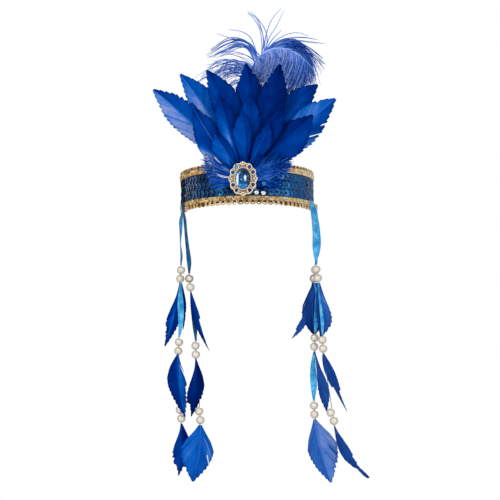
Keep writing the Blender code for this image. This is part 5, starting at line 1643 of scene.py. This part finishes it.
def hanging_tables(strand, pair, top_x, tip_x, tip_z, behind, bow, turn):
    """The quill's path from under its pearl, and the ways to the side and the front."""
    deep = (STRAND_Y[strand] + behind) * MM
    ball = pearl_at[strand, pair][1]
    top = Vector((top_x * MM, ball.y + behind * 0.55 * MM, ball.z))
    aside = math.hypot(top.x - ball.x, top.y - ball.y)
    top.z -= math.sqrt(((PEARL_RADIUS + QUILL_TOP_RADIUS) * MM) ** 2 - aside**2)
    tip = Vector((tip_x * MM, deep, tip_z * MM))
    way = (tip - top).normalized()
    across = turned_to(way.cross(Vector((0, -1, 0))).normalized(), 0, 1)
    face = turned_to(across.cross(way).normalized(), 1, -1)
    turn = math.radians(turn)
    side = np.array(across * math.cos(turn) + face * math.sin(turn))
    front = np.array(face * math.cos(turn) - across * math.sin(turn))
    t = np.linspace(0, 1, QUILL_POINTS)[:, None]
    mid = np.array(top) * (1 - t) + np.array(tip) * t + np.array(across) * (bow * MM * 4 * t * (1 - t))
    mid[:, 1] = top.y + (deep - top.y) * np.minimum(1, t[:, 0] / 0.2)
    return mid, np.tile(side, (QUILL_POINTS, 1)), np.tile(front, (QUILL_POINTS, 1))


for number, row in enumerate(HANGING):
    strand, index, pair, top_x, tip_x, tip_z, behind, bow, halves, turn, dye_and_light, slot, special = row
    node = f"feather_{strand}_{index}"
    tables = hanging_tables(strand, pair, top_x, tip_x, tip_z, behind, bow, turn)
    look = dict(outline=HANGING_OUTLINE, pitch=5.2, deep=1.4, teeth_from=0.45, lean=1.9) | special
    piece = build_feather(node + "_vane", tables, halves, dye_and_light=dye_and_light, seed=50 + number, **look)
    dress(piece, blue_feather if strand.startswith("left") else faded_feather, slot, node)
print("hanging feathers:", len(HANGING))

# %% [markdown]
# ## Down round the brooch
# The feet of the fan feathers are fluffy. Their down hides the upper braid and part of
# the sequins and spreads from the brooch on all sides but below. Fine curved hairs are
# grown out from the brooch, paler at the sides.
# %% Down
# how far forward and how high the down may reach
DOWN_FRONT, DOWN_TOP = -112.5, 82
luck = np.random.default_rng(31)


def down_family(count, turn, spread, start, reach, radius, dye_and_light, dye_spread, forward):
    """Hairs that leave the brooch at about one angle from upright: paths, radii and dyes."""
    angle = luck.normal(turn, spread, count)
    angle = np.where(np.abs(angle) > 1.95, luck.uniform(-1.6, 1.6, count), angle)
    length = luck.uniform(*reach, count) * np.interp(np.abs(angle), (0, 1.4, 1.95), (1.0, 1.0, 0.6))
    way = np.stack([np.sin(angle), np.zeros(count), np.cos(angle)], axis=1)
    hand = np.stack([np.cos(angle), np.zeros(count), -np.sin(angle)], axis=1)
    root = way * luck.uniform(*start, count)[:, None] + np.array([0, 0, BROOCH_Z])
    root[:, 1] = luck.uniform(forward - 2.5, forward + 3.0, count)
    swing = luck.normal(0, 0.14, count) * length
    tip = root + way * length[:, None] + hand * swing[:, None]
    tip[:, 1] = np.clip(root[:, 1] + luck.normal(-1.5, 2.4, count), DOWN_FRONT, -98.5)
    sag = swing * luck.uniform(0.1, 0.8, count)
    bend = root + way * (length * 0.55)[:, None] - hand * sag[:, None]
    bend[:, 1] = np.clip(root[:, 1] + luck.normal(-1.5, 1.5, count), DOWN_FRONT, -99)
    t = np.linspace(0, 1, HAIR_STEPS + 1)[None]
    paths = bezier(root, bend, tip, t)
    paths[..., 2] = np.minimum(paths[..., 2], DOWN_TOP)
    radii = luck.uniform(*radius, (count, 1)) * (1 - 0.6 * t**2)
    return paths * MM, radii * MM, dye_and_light + luck.normal(0, dye_spread, count)


# how many, angle from upright, spread, start, length, radius, dye, its spread, depth
DOWN = [
    (200, -1.5, 0.20, (12, 24), (13, 23), (0.9, 1.9), 0.62, 0.10, -105.5),
    (200, 1.42, 0.22, (12, 26), (15, 27), (0.9, 1.9), 0.59, 0.08, -105.5),
    (90, 1.82, 0.10, (13, 22), (12, 22), (0.9, 1.8), 0.28, 0.07, -105.5),
    (70, -1.04, 0.05, (14, 26), (20, 27), (1.0, 1.9), 0.74, 0.12, -104.5),
    (70, -1.22, 0.07, (24, 33), (14, 21), (0.5, 1.1), 0.76, 0.12, -104.0),
    (60, -1.08, 0.06, (26, 36), (14, 20), (0.5, 1.0), 0.8, 0.12, -104.0),
    (80, 1.14, 0.06, (14, 26), (20, 28), (1.0, 1.9), 0.48, 0.08, -104.5),
    (110, 1.28, 0.06, (26, 39), (16, 24), (0.6, 1.2), 0.62, 0.12, -104.0),
    (40, 1.74, 0.07, (24, 34), (14, 20), (0.5, 1.0), 0.4, 0.08, -104.0),
    (50, 0.74, 0.12, (14, 24), (8, 13), (0.8, 1.6), 0.42, 0.06, -105.0),
    (80, 0.0, 0.7, (10, 18), (5, 10), (0.4, 0.9), 0.40, 0.08, -105.0),
    (16, -1.16, 0.10, (20, 30), (12, 18), (0.3, 0.55), 0.82, 0.08, -107.0),
    (14, 1.2, 0.10, (24, 34), (10, 14), (0.4, 0.8), 0.66, 0.10, -107.0),
    (4, -1.47, 0.03, (15, 17), (13, 16), (0.35, 0.5), 1.1, 0.02, -109.8),
]
grown = [down_family(*row) for row in DOWN]
paths, radii, dyes = (np.concatenate(parts) for parts in zip(*grown))
down = strands("brooch_down", hair, paths, radii, dyes)

DOWN_DYE = [
    (0.0, 0, 26, 100), (0.4, 0, 54, 146), (0.62, 18, 84, 176), (0.82, 84, 124, 200),
    (0.96, 140, 162, 216), (1.0, 226, 230, 246),
]
down_finish, tree, shader = barb_material("down", DOWN_DYE, 120.0, 0.14)
dress(down, down_finish, "feather")
print("hairs of down:", len(paths), "triangles:", triangles(down))

# %% [markdown]
# ## Floor and sizes
# The floor is only stage. The models that were copied are thrown away, and the size of
# the finished object is set beside the CAD box.
# %% Finish
discard(hair, barb, quill_tube, cord_tube, sequin, picot, stitch, bead, wire_ring, small, pearl)
bpy.ops.mesh.primitive_circle_add(vertices=64, radius=6, fill_type="NGON", location=(0, 0, -0.45))
floor = bpy.context.object
floor.name = "floor"
pale, tree, shader = material("pale_floor", Roughness=0.8)
sweep = ramp(tree, mottle(tree, 3.0), [(0.0, 240, 240, 241), (1.0, 246, 246, 247)])
feed(tree, shader, {"Base Color": sweep})
floor.data.materials.append(pale)
floor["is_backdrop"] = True

low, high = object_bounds()
print("visual box in mm:", [round(v / MM, 1) for v in (*low, *high)])
